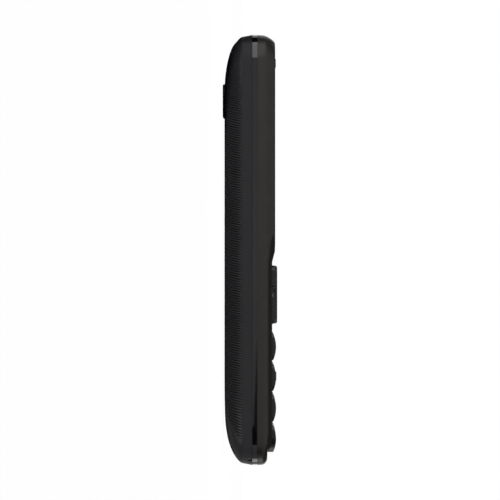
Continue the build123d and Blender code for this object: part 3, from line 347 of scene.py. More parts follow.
@dataclass(frozen=True)
class PrintedWindow(Surface):
    """Acrylic, printed black behind its border and clear over the display.

    A deep gloss black border frames the dark display, which is seen a little deeper inside it.
    """

    name: str = "back_printed_acrylic_window"
    clear: tuple[tuple[str, float, float], ...] = (("X", 0.0, 15.6), ("Y", DISPLAY_Y, 21.0))
    print_edge: float = 0.04
    cover: float = 0.35
    inks: tuple[str, str] = ("#0b0b0d", "#101012")
    ior: float = 1.49
    coat: float = 0.3
    coat_roughness: float = 0.03
    roughness: Zone = (0.05, 0.12)
    smear_scale: float = 90.0

    def dress(self, tree: bpy.types.NodeTree, shader: bpy.types.Node, spot: bpy.types.NodeSocket) -> None:
        """Fills in the print, and the smears that fingers leave on its gloss.

        Args:
            tree: The material's tree.
            shader: Its Principled BSDF node.
            spot: Object coordinates.
        """
        axes = add_node(tree, "SeparateXYZ", links={0: spot})
        edges = []
        for axis, middle, half in self.clear:
            away = add_node(tree, "Math", {1: middle * MM}, {0: axes.outputs[axis]}, operation="SUBTRACT")
            size = add_node(tree, "Math", links={0: away.outputs[0]}, operation="ABSOLUTE")
            fade = {"From Min": (half - self.print_edge) * MM, "From Max": (half + self.print_edge) * MM}
            edges.append(add_node(tree, "MapRange", fade, {"Value": size.outputs[0]}).outputs["Result"])
        border = add_node(tree, "Math", links={0: edges[0], 1: edges[1]}, operation="MAXIMUM").outputs[0]
        alpha = add_node(tree, "MapRange", {"To Min": self.cover, "To Max": 1.0}, {"Value": border})
        tree.links.new(alpha.outputs["Result"], shader.inputs["Alpha"])
        fine = {"Scale": self.smear_scale, "Detail": 4.0}
        smear = add_node(tree, "TexNoise", fine, {"Vector": spot}).outputs["Fac"]
        smooth, dull = self.roughness
        rough = add_node(tree, "MapRange", {"To Min": smooth, "To Max": dull}, {"Value": smear})
        tree.links.new(rough.outputs["Result"], shader.inputs["Roughness"])
        inks = {6: linear(self.inks[0]), 7: linear(self.inks[1])}
        ink = add_node(tree, "Mix", inks, {0: smear}, data_type="RGBA")
        tree.links.new(ink.outputs[2], shader.inputs["Base Color"])


@dataclass(frozen=True)
class PrintedGlassWithPaintedLensReflection(Surface):
    """Cover glass of the camera, printed with a black ring round a clear middle.

    A black gloss ring and a thin bright line lie round a dark lens, on which a violet ring is a painted
    reflection of the lens's coating. Each ring is a colour with the share of the radius where it is pure.
    """

    x: float
    y: float
    radius: float
    name: str = "printed_camera_glass_painted_lens_reflection"
    # The violet at 0.22 of the radius is a painted reflection of the lens's coating on the dark lens.
    rings: tuple[tuple[float, str], ...] = (
        (0.0, "#06060c"), (0.22, "#1a1430"), (0.3, "#050508"), (0.48, "#0c0c12"), (0.55, "#3a3a3c"),
        (0.6, "#08080a"),
    )
    ior: float = 1.52
    coat: float = 0.5
    coat_roughness: float = 0.02
    roughness: float = 0.05

    def dress(self, tree: bpy.types.NodeTree, shader: bpy.types.Node, spot: bpy.types.NodeSocket) -> None:
        """Fills in the print rings round the lens, and the painted reflection of the lens's coating.

        Args:
            tree: The material's tree.
            shader: Its Principled BSDF node.
            spot: Object coordinates.
        """
        shader.inputs["Roughness"].default_value = self.roughness
        shift = {"Location": (-self.x * MM, -self.y * MM, 0.0), "Scale": (1, 1, 0)}
        centred = add_node(tree, "Mapping", shift, {"Vector": spot})
        reach = add_node(tree, "VectorMath", links={0: centred.outputs[0]}, operation="LENGTH")
        away = {0: reach.outputs["Value"]}
        share = add_node(tree, "Math", {1: self.radius * MM}, away, operation="DIVIDE").outputs[0]
        ramp = add_node(tree, "ValToRGB", links={0: share})
        while len(ramp.color_ramp.elements) < len(self.rings):
            ramp.color_ramp.elements.new(0.5)
        for element, (at, code) in zip(ramp.color_ramp.elements, self.rings):
            element.position = at
            element.color = linear(code)
        tree.links.new(ramp.outputs["Color"], shader.inputs["Base Color"])


# Forms and mesh tools.


@dataclass(frozen=True)
class Outline:
    """The phone seen from the front at one height: straight sides, bowed ends and round corners."""

    half_width: float
    top: float
    bottom: float
    top_corner: float
    bottom_corner: float
    end_radius: float

    def inset(self, wall: float) -> "Outline":
        """The same outline drawn in all round.

        Args:
            wall: How far.

        Returns:
            The smaller outline.
        """
        return Outline(
            self.half_width - wall,
            self.top - wall,
            self.bottom + wall,
            self.top_corner - wall,
            self.bottom_corner - wall,
            self.end_radius - wall,
        )

    def towards(self, other: "Outline", share: float) -> "Outline":
        """The outline that lies a share of the way to another."""
        pairs = zip(astuple(self), astuple(other))
        return Outline(*(here + (there - here) * share for here, there in pairs))

    def quarter(self, way: int, steps: int) -> list[tuple[float, float]]:
        """Points of the +X corner at one end, from the side to the end arc.

        Args:
            way: 1 for the top end and -1 for the bottom end.
            steps: How many pieces the corner has.

        Returns:
            Plane points in order.
        """
        edge, corner = (self.top, self.top_corner) if way > 0 else (self.bottom, self.bottom_corner)
        arc_centre = edge - way * self.end_radius
        centre_x = self.half_width - corner
        centre_y = arc_centre + way * sqrt((self.end_radius - corner) ** 2 - centre_x**2)
        last = atan2(abs(centre_y - arc_centre), centre_x)
        turns = [last * step / steps for step in range(steps + 1)]
        return [(centre_x + corner * cos(t), centre_y + way * corner * sin(t)) for t in turns]

    def bow(self, way: int, start: tuple[float, float], steps: int) -> list[tuple[float, float]]:
        """Points of an end's long arc between its corners, without its ends.

        Args:
            way: 1 for the top end and -1 for the bottom end.
            start: The point where the +X corner meets the arc.
            steps: How many pieces the arc has.

        Returns:
            Plane points from +X to -X.
        """
        edge = self.top if way > 0 else self.bottom
        centre_y = edge - way * self.end_radius
        reach = [start[0] * (1 - 2 * step / steps) for step in range(1, steps)]
        return [(x, centre_y + way * sqrt(self.end_radius**2 - x**2)) for x in reach]

    def ring(
        self, height: float, rows: Sequence[float] = (), corner_steps: int = 16, bow_steps: int = 14
    ) -> list[Place]:
        """The closed outline as points, going round from the +X side over the top end.

        Args:
            height: The height of the points.
            rows: Places along both straight sides that get a point of their own, from the top down.
            corner_steps: How many pieces each corner has.
            bow_steps: How many pieces each end's arc has.

        Returns:
            The points in order.
        """
        high, low = self.quarter(1, corner_steps), self.quarter(-1, corner_steps)
        loop = high + self.bow(1, high[-1], bow_steps)
        loop += [(-x, y) for x, y in reversed(high)]
        loop += [(-self.half_width, y) for y in rows]
        loop += [(-x, y) for x, y in low]
        loop += [(-x, y) for x, y in self.bow(-1, low[-1], bow_steps)]
        loop += list(reversed(low))
        loop += [(self.half_width, y) for y in reversed(rows)]
        return [(x, y, height) for x, y in loop]


# How far the foot of the side wall stands in from its rim.
WALL_LEAN = 0.5
BAND = Outline(25.0, 58.0, -58.0, 6.4, 5.4, 300.0)
RIM = BAND.inset(0.1)
COVER_EDGE = RIM.inset(WALL_LEAN)
SHOULDER_EDGE = RIM.inset(0.45)
BACK_FLAT = Outline(19.8, 43.1, -39.2, 7.5, 7.5, 300.0)
FACE = Outline(23.2, 55.9, -52.3, 4.6, 4.6, 300.0)
WINDOW = Outline(22.3, 55.0, 0.0, 4.0, 1.6, 300.0)
HOLLOW = Outline(22.4, 54.9, -55.05, 4.0, 4.7, 300.0)

# Heights, from the back to the front.
BACK = 0.5
COVER_SEAM = 5.2
WALL_FOOT = 5.22
BAND_BACK = 7.85
BAND_FRONT = 9.35
KEY_FOOT = 10.65
SHOULDER = 11.4
KEYPAD_CEILING = 11.75
DISPLAY_CEILING = 12.25
KEYPAD_FACE = 13.25
DISPLAY_FACE = 14.0
# How far the cover's inside and the deck lie in from its outside, and how square its roll is.
COVER_WALL = 1.0
DECK_DEPTH = 1.3
ROLL_POWER = 1.05
# Pieces of an arc: in a softened edge, in a block's corner, and in a corner with its own radius.
EDGE_STEPS = 2
CORNER_STEPS = 8
OWN_CORNER_STEPS = 10
# Points closer than this become one.
WELD = 0.0005
# A cut through a straight block takes only the points that lie this near to its plane.
EXACT = 1e-6
# A face looks up when its normal has at least this height.
UP = 0.9


def skin(bm: BMesh, rings: Sequence[Sequence[Place]], closed: bool = False) -> None:
    """Skins a stack of rings of equal counts, each extruded from the one before.

    Args:
        bm: The mesh that gets the skin.
        rings: The rings in order, each with its points in the same order.
        closed: Whether the last ring joins the first, instead of a cap on each.
    """
    verts = bmesh.ops.create_circle(bm, cap_ends=False, segments=len(rings[0]), radius=1.0)["verts"]
    order = {vert: at for at, vert in enumerate(verts)}
    first = list(dict.fromkeys(edge for vert in verts for edge in vert.link_edges))
    for vert, at in order.items():
        vert.co = rings[0][at]
    edges = first
    for ring in rings[1:]:
        made = bmesh.ops.extrude_edge_only(bm, edges=edges)["geom"]
        fresh = [item for item in made if isinstance(item, BMVert)]
        partners = {}
        for vert in fresh:
            old = next(other for e in vert.link_edges if (other := e.other_vert(vert)) in order)
            partners[vert] = order[old]
        for vert, at in partners.items():
            vert.co = ring[at]
        order = partners
        edges = [e for e in made if isinstance(e, BMEdge) and all(v in partners for v in e.verts)]
    if closed:
        bmesh.ops.bridge_loops(bm, edges=first + edges)
    else:
        bmesh.ops.contextual_create(bm, geom=first)
        bmesh.ops.contextual_create(bm, geom=edges)
    bmesh.ops.recalc_face_normals(bm, faces=bm.faces[:])


def back_rings(inset: float, steps: int) -> list[list[Place]]:
    """Rings of the rolled back, drawn in, from its flat part up to the seam.

    Args:
        inset: How far the form is drawn in all round.
        steps: How many pieces the roll has.

    Returns:
        The rings, the lowest first.
    """
    edge = COVER_EDGE.inset(inset)
    height = COVER_SEAM - BACK - inset
    rings = []
    for step in range(steps, -1, -1):
        turn = radians(90) * step / steps
        share = 1 - abs(cos(turn)) ** ROLL_POWER
        rings.append(edge.towards(BACK_FLAT, share).ring(COVER_SEAM - height * sin(turn) ** ROLL_POWER))
    return rings


def block(
    width: float,
    length: float,
    back: float,
    front: float,
    corner: float = 0.0,
    x: float = 0.0,
    y: float = 0.0,
    own_corner: tuple[int, float] | None = None,
) -> BMesh:
    """Flat block with round corners.

    Args:
        width: Size along X.
        length: Size along Y.
        back: Lowest height.
        front: Highest height.
        corner: Corner radius seen from the front.
        x: Middle along X.
        y: Middle along Y.
        own_corner: The side, -1 or 1, whose lower corner has its own radius, and that radius.

    Returns:
        A new mesh.
    """
    bm = bmesh.new()
    bmesh.ops.create_grid(bm, x_segments=1, y_segments=1, size=0.5)
    bmesh.ops.scale(bm, vec=(width, length, 1.0), verts=bm.verts[:])
    plain = bm.verts[:]
    if own_corner:
        side, radius = own_corner
        special = [v for v in plain if v.co.x * side > 0 and v.co.y < 0]
        plain = [v for v in plain if v not in special]
        soften(bm, special, radius, OWN_CORNER_STEPS, "VERTICES")
    if corner:
        soften(bm, plain, corner, CORNER_STEPS, "VERTICES")
    raise_faces(bm, bm.faces[:], front - back)
    shift(bm, x, y, back)
    bmesh.ops.recalc_face_normals(bm, faces=bm.faces[:])
    return bm


def soften(bm: BMesh, geom: Iterable, offset: float, segments: int, affect: str = "EDGES") -> None:
    """Rounds edges or corners with an arc.

    Args:
        bm: The mesh.
        geom: The edges or vertices to round.
        offset: Width of the rounding.
        segments: Pieces of the arc.
        affect: EDGES or VERTICES.
    """
    bmesh.ops.bevel(
        bm,
        geom=list(geom),
        offset=offset,
        offset_type="OFFSET",
        segments=segments,
        profile=0.5,
        affect=affect,
        clamp_overlap=True,
        material=-1,
    )


def raise_faces(bm: BMesh, faces: Sequence[BMFace], height: float) -> list[BMFace]:
    """Extrudes faces along Z.

    Args:
        bm: The mesh.
        faces: The faces to extrude.
        height: How far.

    Returns:
        The faces at the new height.
    """
    made = bmesh.ops.extrude_face_region(bm, geom=list(faces))["geom"]
    bmesh.ops.translate(bm, vec=(0, 0, height), verts=[g for g in made if isinstance(g, BMVert)])
    return [g for g in made if isinstance(g, BMFace)]


def shift(bm: BMesh, x: float, y: float, z: float = 0.0) -> None:
    """Moves a whole mesh."""
    bmesh.ops.translate(bm, vec=(x, y, z), verts=bm.verts[:])


def faces_up(bm: BMesh) -> list[BMFace]:
    """The faces that look up."""
    return [face for face in bm.faces if face.normal.z > UP]


def edges_past(bm: BMesh, height: float, way: int = 1) -> list[BMEdge]:
    """The edges that have both their ends above a height, or below it where the way is -1."""
    return [edge for edge in bm.edges if all(way * (vert.co.z - height) > 0 for vert in edge.verts)]


def slice_across(bm: BMesh, axis: int, places: Iterable[float], snap: float = 0.001) -> None:
    """Divides a mesh by planes that stand square to an axis, and leaves it whole.

    Args:
        bm: The mesh.
        axis: 0 for X and 1 for Y.
        places: Where on the axis the planes stand.
        snap: How near to a plane a point counts as on it.
    """
    normal = Vector()
    normal[axis] = 1.0
    for at in places:
        geom = bm.verts[:] + bm.edges[:] + bm.faces[:]
        bmesh.ops.bisect_plane(bm, geom=geom, plane_co=normal * at, plane_no=normal, dist=snap)


def disc(
    radius: float, back: float, front: float, x: float = 0.0, y: float = 0.0, segments: int = 48
) -> BMesh:
    """Round block between two heights.

    Args:
        radius: Its radius.
        back: Lowest height.
        front: Highest height.
        x: Middle along X.
        y: Middle along Y.
        segments: Number of sides.

    Returns:
        A new mesh.
    """
    bm = bmesh.new()
    bmesh.ops.create_circle(bm, cap_ends=True, segments=segments, radius=radius)
    raise_faces(bm, bm.faces[:], front - back)
    shift(bm, x, y, back)
    bmesh.ops.recalc_face_normals(bm, faces=bm.faces[:])
    return bm


class Slab(NamedTuple):
    """A flat block, or the hollow that it leaves: sizes, heights, middle and corner radius."""

    width: float
    length: float
    back: float
    front: float
    x: float = 0.0
    y: float = 0.0
    corner: float = 0.0

    def mesh(self) -> BMesh:
        """The block as a mesh."""
        return block(self.width, self.length, self.back, self.front, self.corner, self.x, self.y)


class Rod(NamedTuple):
    """A round block, or the hole that it leaves: radius, heights, middle and number of sides."""

    radius: float
    back: float
    front: float
    x: float = 0.0
    y: float = 0.0
    segments: int = 48

    def mesh(self) -> BMesh:
        """The block as a mesh."""
        return disc(*self)


def outline_block(outline: Outline, back: float, front: float) -> BMesh:
    """An outline as a straight block.

    Args:
        outline: Its form seen from the front.
        back: Lowest height.
        front: Highest height.

    Returns:
        A new mesh.
    """
    bm = bmesh.new()
    skin(bm, [outline.ring(back), outline.ring(front)])
    return bm


def together(*parts: BMesh) -> BMesh:
    """Puts several meshes into one.

    Args:
        parts: The meshes, which are freed.

    Returns:
        A new mesh.
    """
    whole = bmesh.new()
    for part in parts:
        mesh = bpy.data.meshes.new("part")
        part.to_mesh(mesh)
        part.free()
        whole.from_mesh(mesh)
        bpy.data.meshes.remove(mesh)
    return whole


def keep_side(bm: BMesh, y: float, way: int) -> BMesh:
    """Keeps what lies on one side of a plane across the length, and closes the cut.

    Args:
        bm: The mesh to cut.
        y: Where the plane stands.
        way: 1 to keep the top end's side and -1 to keep the other.

    Returns:
        The same mesh.
    """
    geom = bm.verts[:] + bm.edges[:] + bm.faces[:]
    cut = bmesh.ops.bisect_plane(
        bm, geom=geom, plane_co=(0, y, 0), plane_no=(0, -way, 0), clear_outer=True, dist=EXACT
    )
    edges = [item for item in cut["geom_cut"] if isinstance(item, BMEdge)]
    bmesh.ops.contextual_create(bm, geom=edges)
    bmesh.ops.recalc_face_normals(bm, faces=bm.faces[:])
    return bm


def loose_object(bm: BMesh, name: str) -> bpy.types.Object:
    """Makes an object of the scene out of a mesh.

    Args:
        bm: The mesh, which is freed.
        name: The object's name.

    Returns:
        The new object.
    """
    mesh = bpy.data.meshes.new(name)
    bm.to_mesh(mesh)
    bm.free()
    thing = bpy.data.objects.new(name, mesh)
    bpy.context.scene.collection.objects.link(thing)
    return thing


def carve(host: BMesh, *tools: BMesh) -> BMesh:
    """Cuts tools out of a block, one after the other.

    Args:
        host: The block, which is freed.
        tools: What is cut out, each a closed mesh of its own, freed too.

    Returns:
        A new mesh.
    """
    body = loose_object(host, "host")
    cutters = [loose_object(tool, "cutter") for tool in tools]
    for cutter in cutters:
        cut = body.modifiers.new("cut", "BOOLEAN")
        cut.operation = "DIFFERENCE"
        cut.solver = "EXACT"
        cut.object = cutter
    done = body.evaluated_get(bpy.context.evaluated_depsgraph_get())
    result = bmesh.new()
    result.from_mesh(done.to_mesh())
    for thing in [body, *cutters]:
        mesh = thing.data
        bpy.data.objects.remove(thing)
        bpy.data.meshes.remove(mesh)
    bmesh.ops.remove_doubles(result, verts=result.verts[:], dist=WELD)
    bmesh.ops.dissolve_degenerate(result, edges=result.edges[:], dist=WELD)
    return result


def place(
    bm: BMesh,
    name: str,
    finish: Surface,
    body: str,
    stands_for: Iterable[str] = (),
    edge: float = 0.0,
    crease: float = 32.0,
) -> bpy.types.Object:
    """Makes a finished piece of a mesh in millimetres.

    Args:
        bm: The mesh, which is freed.
        name: The piece's name.
        finish: What it is made of.
        body: The CAD body that it rides on.
        stands_for: CAD nodes that it replaces.
        edge: Width of the rounding that its sharp edges get, or 0.
        crease: Angle in degrees past which an edge is sharp.

    Returns:
        The piece's object.
    """
    bm.transform(Matrix.Scale(MM, 4))
    piece = loose_object(bm, name)
    piece.data.shade_smooth()
    piece.data.set_sharp_from_angle(angle=radians(crease))
    piece.data.materials.append(finish.material())
    if edge:
        bevel = piece.modifiers.new("edges", "BEVEL")
        bevel.width = edge * MM
        bevel.segments = EDGE_STEPS
        bevel.limit_method = "ANGLE"
        bevel.angle_limit = radians(crease)
        bevel.use_clamp_overlap = True
    weighted = piece.modifiers.new("shading", "WEIGHTED_NORMAL")
    weighted.keep_sharp = True
    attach(piece, body)
    if stands_for:
        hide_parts(*stands_for)
    log.info("%s: %d faces, rides on %s", name, len(piece.data.polygons), body)
    return piece


def spread(count: int, pitch: float) -> list[float]:
    """Places of equal pitch, centred on zero."""
    return [(step - (count - 1) / 2) * pitch for step in range(count)]


def table_at(table: Table, value: float) -> float:
    """What a table gives for a value, on a straight line between its entries."""
    return float(np.interp(value, *zip(*table)))


def smooth_step(value: float, low: float, high: float) -> float:
    """0 below low, 1 above high and a smooth rise between them."""
    share = min(max((value - low) / (high - low), 0.0), 1.0)
    return share * share * (3 - 2 * share)


# Housing.


@dataclass
class BatteryCover:
    """Ribbed bowl over the back: fine moulded ribs run across it in shallow arcs.

    A rib's phase is the Y that it would have if it ran straight across on the level of zero.
    """

    pitch: float = 0.66
    depth: float = 0.26
    profile: Table = ((0.0, 0.0), (0.3, 0.0), (0.52, 0.14), (0.76, 1.0))
    first: float = -52.0
    last: float = 64.0
    arc: float = 240.0
    lean: float = 0.16
    top_lean: float = 0.75
    top_lean_zone: Zone = (36.0, 54.0)
    low_lean: float = 0.5
    low_lean_zone: Zone = (36.0, 52.0)
    columns: int = 22
    column_snap: float = 0.002
    row_snap: float = 0.004
    inner_steps: int = 6
    roll_steps: int = 14
    unphase_steps: int = 12
    rim: float = 0.02
    core: Zone = (-36.0, 40.0)
    core_rise: float = 4.0
    facing: float = 0.2
    top_ends: Table = (
        (0.5, 35.5), (1.0, 41.0), (1.5, 45.0), (2.06, 48.0), (2.63, 50.3), (3.2, 52.4), (5.2, 56.0),
    )
    low_ends: Table = ((0.5, -40.0), (1.39, -44.5), (3.28, -48.6), (5.2, -52.1))
    end_fade: Zone = (-0.8, 0.6)
    port_fade: Zone = (0.15, 0.9)
    seam_fade: Zone = (0.12, 0.3)
    top_trim: Table = (
        (2.3, 0.0), (2.9, 0.2), (3.3, 0.36), (3.7, 0.45), (4.1, 0.35), (4.6, 0.2), (5.0, 0.0),
    )
    top_zone: Zone = (46.0, 53.0)
    low_drop: Table = (
        (-57.0, 0.26), (-55.6, 0.1), (-54.9, 0.0), (-52.4, -0.24), (-50.3, -0.3), (-46.0, -0.23),
        (-42.0, 0.0),
    )
    low_zone: Zone = (0.0, 0.8)
    port: Slab = Slab(26.2, 9.1, -5.0, COVER_SEAM, y=40.05, corner=3.3)
    clip_width: float = 0.3
    clip_length: float = 5.0
    clip_height: float = 0.8
    clip_places: tuple[float, ...] = (-26.0, 4.0, 30.0)
    crease: float = 40.0

    def build(self) -> None:
        """Builds the bowl, cuts its port and presses the ribs into its outside."""
        bowl = carve(self.bowl(), self.port.mesh())
        self.trim_ends(bowl)
        slice_across(bowl, 0, spread(self.columns, 2 * BACK_FLAT.half_width / self.columns), self.column_snap)
        self.cut_rows(bowl)
        self.press_ribs(bowl)
        place(
            together(bowl, *self.clips()), "ribbed_battery_cover", RIBBED_ABS, "battery_cover",
            ["battery_cover"], crease=self.crease,
        )

    def bowl(self) -> BMesh:
        """The plain bowl: inside, rim and outside in one skin.

        Returns:
            A new mesh.
        """
        inner = back_rings(COVER_WALL, self.inner_steps)
        outer = back_rings(0.0, self.roll_steps)
        rim = COVER_EDGE.inset(self.rim).ring(COVER_SEAM)
        outer[-1] = COVER_EDGE.ring(COVER_SEAM - self.rim)
        bm = bmesh.new()
        skin(bm, inner + [rim] + outer[::-1])
        return bm

    def clips(self) -> list[BMesh]:
        """Snap clips along the inside of the sides.

        Returns:
            A mesh for each clip.
        """
        x = COVER_EDGE.half_width - COVER_WALL
        back = COVER_SEAM - self.clip_height
        return [
            block(self.clip_width, self.clip_length, back, COVER_SEAM, x=way * x, y=y)
            for way in (-1, 1)
            for y in self.clip_places
        ]

    def outside(self, face: BMFace) -> bool:
        """Whether a face belongs to the outer skin, and so looks away from a line inside the phone.

        Args:
            face: A face of the bowl.

        Returns:
            True on the outer skin.
        """
        middle = face.calc_center_median()
        low, high = self.core
        inside = Vector((0, max(min(middle.y, high), low), COVER_SEAM + self.core_rise))
        return face.normal.dot(middle - inside) > self.facing

    def trim_ends(self, bm: BMesh) -> None:
        """Draws the roll in a little at the top end and shapes how low it hangs at the other.

        Args:
            bm: The bowl.
        """
        bm.normal_update()
        outer = {vert for face in bm.faces if self.outside(face) for vert in face.verts}
        for vert in outer:
            top = smooth_step(vert.co.y, *self.top_zone) * table_at(self.top_trim, vert.co.z)
            low = table_at(self.low_drop, vert.co.y) * smooth_step(COVER_SEAM - vert.co.z, *self.low_zone)
            vert.co.y -= top
            vert.co.z = max(vert.co.z + low, BACK)

    def lean_at(self, y: float) -> float:
        """How steeply the ribs run down towards the front at a place along the length.

        Args:
            y: The place.

        Returns:
            The shift along Y for each millimetre of height.
        """
        high = (self.top_lean - self.lean) * smooth_step(y, *self.top_lean_zone)
        low = (self.low_lean - self.lean) * smooth_step(-y, *self.low_lean_zone)
        return self.lean + high + low

    def phase(self, point: Vector) -> Vector:
        """A point with its Y turned into the phase of the ribs."""
        return Vector((point.x, point.y + point.x**2 / self.arc + point.z * self.lean_at(point.y), point.z))

    def unphase(self, point: Vector) -> Vector:
        """A point turned back, by steps that close in on its Y.

        Args:
            point: The point with a phase for its Y.

        Returns:
            The point in space.
        """
        straight = point.y - point.x**2 / self.arc
        y = straight
        for _ in range(self.unphase_steps):
            y = straight - point.z * self.lean_at(y)
        return Vector((point.x, y, point.z))

    def cut_rows(self, bm: BMesh) -> None:
        """Cuts the outer skin along every line of the rib profile, sweeping from the lower end.

        Args:
            bm: The bowl.
        """
        bm.normal_update()
        outer = [face for face in bm.faces if self.outside(face)]
        for vert in bm.verts:
            vert.co = self.phase(vert.co)
        waiting = sorted(outer, key=lambda f: -min(v.co.y for v in f.verts))
        live: list[BMFace] = []
        count = int((self.last - self.first) / self.pitch)
        rows = [self.first + (at + share) * self.pitch for at in range(count) for share, _ in self.profile]
        for row in rows:
            while waiting and min(v.co.y for v in waiting[-1].verts) < row:
                live.append(waiting.pop())
            live = [face for face in live if max(v.co.y for v in face.verts) > row]
            verts = dict.fromkeys(vert for face in live for vert in face.verts)
            edges = dict.fromkeys(edge for face in live for edge in face.edges)
            made = bmesh.ops.bisect_plane(
                bm, geom=[*verts, *edges, *live], plane_co=(0, row, 0), plane_no=(0, 1, 0),
                dist=self.row_snap,
            )
            live = [item for item in made["geom"] if isinstance(item, BMFace)]
        for vert in bm.verts:
            vert.co = self.unphase(vert.co)

    def press_ribs(self, bm: BMesh) -> None:
        """Moves the outer skin inwards by the rib profile, fading out before the ends and the port.

        Args:
            bm: The bowl.
        """
        bm.normal_update()
        profile = (*self.profile, (1.0, self.profile[0][1]))
        outer = {vert for face in bm.faces if self.outside(face) for vert in face.verts}
        moves = {}
        for vert in outer:
            along = (self.phase(vert.co).y - self.first) / self.pitch
            moves[vert] = -vert.normal * self.depth * table_at(profile, along % 1.0) * self.fade(vert.co)
        for vert, move in moves.items():
            vert.co += move

    def fade(self, point: Vector) -> float:
        """How strong the ribs are at a point of the skin.

        Args:
            point: The point.

        Returns:
            A share from 0 to 1.
        """
        top = smooth_step(table_at(self.top_ends, point.z) - point.y, *self.end_fade)
        low = smooth_step(point.y - table_at(self.low_ends, point.z), *self.end_fade)
        port = self.port
        past_x = max(abs(point.x) - port.width / 2 + port.corner, 0.0)
        past_y = max(abs(point.y - port.y) - port.length / 2 + port.corner, 0.0)
        clear = smooth_step(hypot(past_x, past_y) - port.corner, *self.port_fade)
        return top * low * clear * smooth_step(COVER_SEAM - point.z, *self.seam_fade)


SOCKET_MOUTH = Slab(7.9, 10.3, 5.7, 8.6, y=57.4)
HOUSING_POCKETS = {
    "battery": Slab(34.8, 50.4, BACK, 6.8, y=-11.85),
    "card holder under the battery": Slab(26.9, 15.9, 6.6, BAND_FRONT, -3.0, -27.25),
    "memory card holder": Slab(15.4, 14.4, 6.6, BAND_FRONT, 5.5, 1.0),
    "battery contacts": Slab(9.4, 3.6, 4.15, BAND_FRONT, y=14.8),
    "camera": Slab(8.8, 8.8, 3.15, BAND_FRONT, -7.4, 40.05),
    "loudspeaker": Slab(15.0, 11.4, 2.6, BAND_FRONT, 5.4, 40.05),
    "mouth of the loudspeaker": Slab(8.5, 5.2, BACK, 2.7, 5.4, 40.05),
    "vibration motor": Slab(12.3, 4.4, 3.4, BAND_FRONT, -14.95, 27.0),
    "aerial carrier": Slab(34.0, 9.7, 4.15, BAND_FRONT, y=-46.35),
    "data socket": SOCKET_MOUTH._replace(front=BAND_BACK),
    "notch to pry the cover off": Slab(8.0, 1.4, 4.65, 5.85, y=-57.4),
    "camera barrel": Rod(3.1, BACK, 7.65, -7.4, 40.05),
    "microphone": Rod(2.2, 6.25, BAND_FRONT, 9.0, -54.0),
}


@dataclass
class RearHousing:
    """Smooth side wall in front of the cover, with the deck and the pockets behind it."""

    edge: float = 0.02
    roll_steps: int = 8
    screws: tuple[tuple[float, float], ...] = ((20.0, 50.0), (20.7, -1.3))
    shank: Rod = Rod(0.9, BACK, BAND_FRONT, segments=24)
    head: Rod = Rod(1.6, BACK, 4.7, segments=32)
    sound_hole: Rod = Rod(0.5, 0.0, 10.0, segments=24)
    sound_start: Place = (9.0, -54.0, 6.95)
    eyelet: tuple[float, float] = (-21.6, -57.6)
    channel: Table = ((1.5, 6.7), (2.6, 6.7), (2.6, 7.8), (1.5, 7.8))
    channel_steps: int = 48

    def build(self) -> None:
        """Builds the housing from one fine skin and cuts its pockets."""
        edge = self.edge
        turned = WALL_LEAN * edge / (BAND_BACK - WALL_FOOT)
        wall = [
            COVER_EDGE.inset(edge).ring(WALL_FOOT),
            RIM.inset(WALL_LEAN - turned).ring(WALL_FOOT + edge),
            RIM.inset(turned).ring(BAND_BACK - edge),
            RIM.inset(edge).ring(BAND_BACK),
        ]
        bm = bmesh.new()
        skin(bm, back_rings(DECK_DEPTH, self.roll_steps) + wall)
        housing = carve(bm, *self.cutters())
        place(housing, "rear_side_housing", SIDE_ABS, "phone", ["rear_housing"])

    def cutters(self) -> list[BMesh]:
        """What is cut out of the solid housing.

        Returns:
            A mesh for each hollow.
        """
        cuts = [pocket.mesh() for pocket in HOUSING_POCKETS.values()]
        for way in (-1, 1):
            for x, y in self.screws:
                cuts += [hole._replace(x=way * x, y=y).mesh() for hole in (self.shank, self.head)]
        sound = self.sound_hole.mesh()
        quarter = Matrix.Rotation(radians(90), 3, "X")
        bmesh.ops.rotate(sound, cent=(0, 0, 0), matrix=quarter, verts=sound.verts[:])
        shift(sound, *self.sound_start)
        return [*cuts, sound, self.eyelet_channel()]

    def eyelet_channel(self) -> BMesh:
        """Curved channel round the lanyard post.

        Returns:
            A new mesh.
        """
        x, y = self.eyelet
        turns = [2 * pi * step / self.channel_steps for step in range(self.channel_steps)]
        rings = [
            [(x + radius * cos(t), y + radius * sin(t), height) for t in turns]
            for radius, height in self.channel
        ]
        bm = bmesh.new()
        skin(bm, rings, closed=True)
        return bm


@dataclass
class TrimBand:
    """Polished ring round the waist, with soft edges and the data socket's notch."""

    wall: float = 1.3
    round: float = 0.05
    arc_steps: int = 4

    def build(self) -> None:
        """Builds the ring as one closed skin and notches it."""
        rings = [BAND.inset(self.wall).ring(BAND_BACK)]
        for way, edge in ((-1, BAND_BACK), (1, BAND_FRONT)):
            turns = [radians(90) * step / self.arc_steps for step in range(self.arc_steps + 1)]
            for turn in turns if way < 0 else turns[::-1]:
                inset = self.round * (1 - sin(turn))
                height = edge - way * self.round * (1 - cos(turn))
                rings.append(BAND.inset(inset).ring(height))
            if way < 0:
                rings.append(BAND.ring(BAND_BACK + 2 * self.round))
                rings.append(BAND.ring(BAND_FRONT - 2 * self.round))
        rings.append(BAND.inset(self.wall).ring(BAND_FRONT))
        bm = bmesh.new()
        skin(bm, rings, closed=True)
        band = carve(bm, SOCKET_MOUTH.mesh())
        place(band, "polished_waist_band", BLACK_LACQUER, "phone", ["trim_band"])


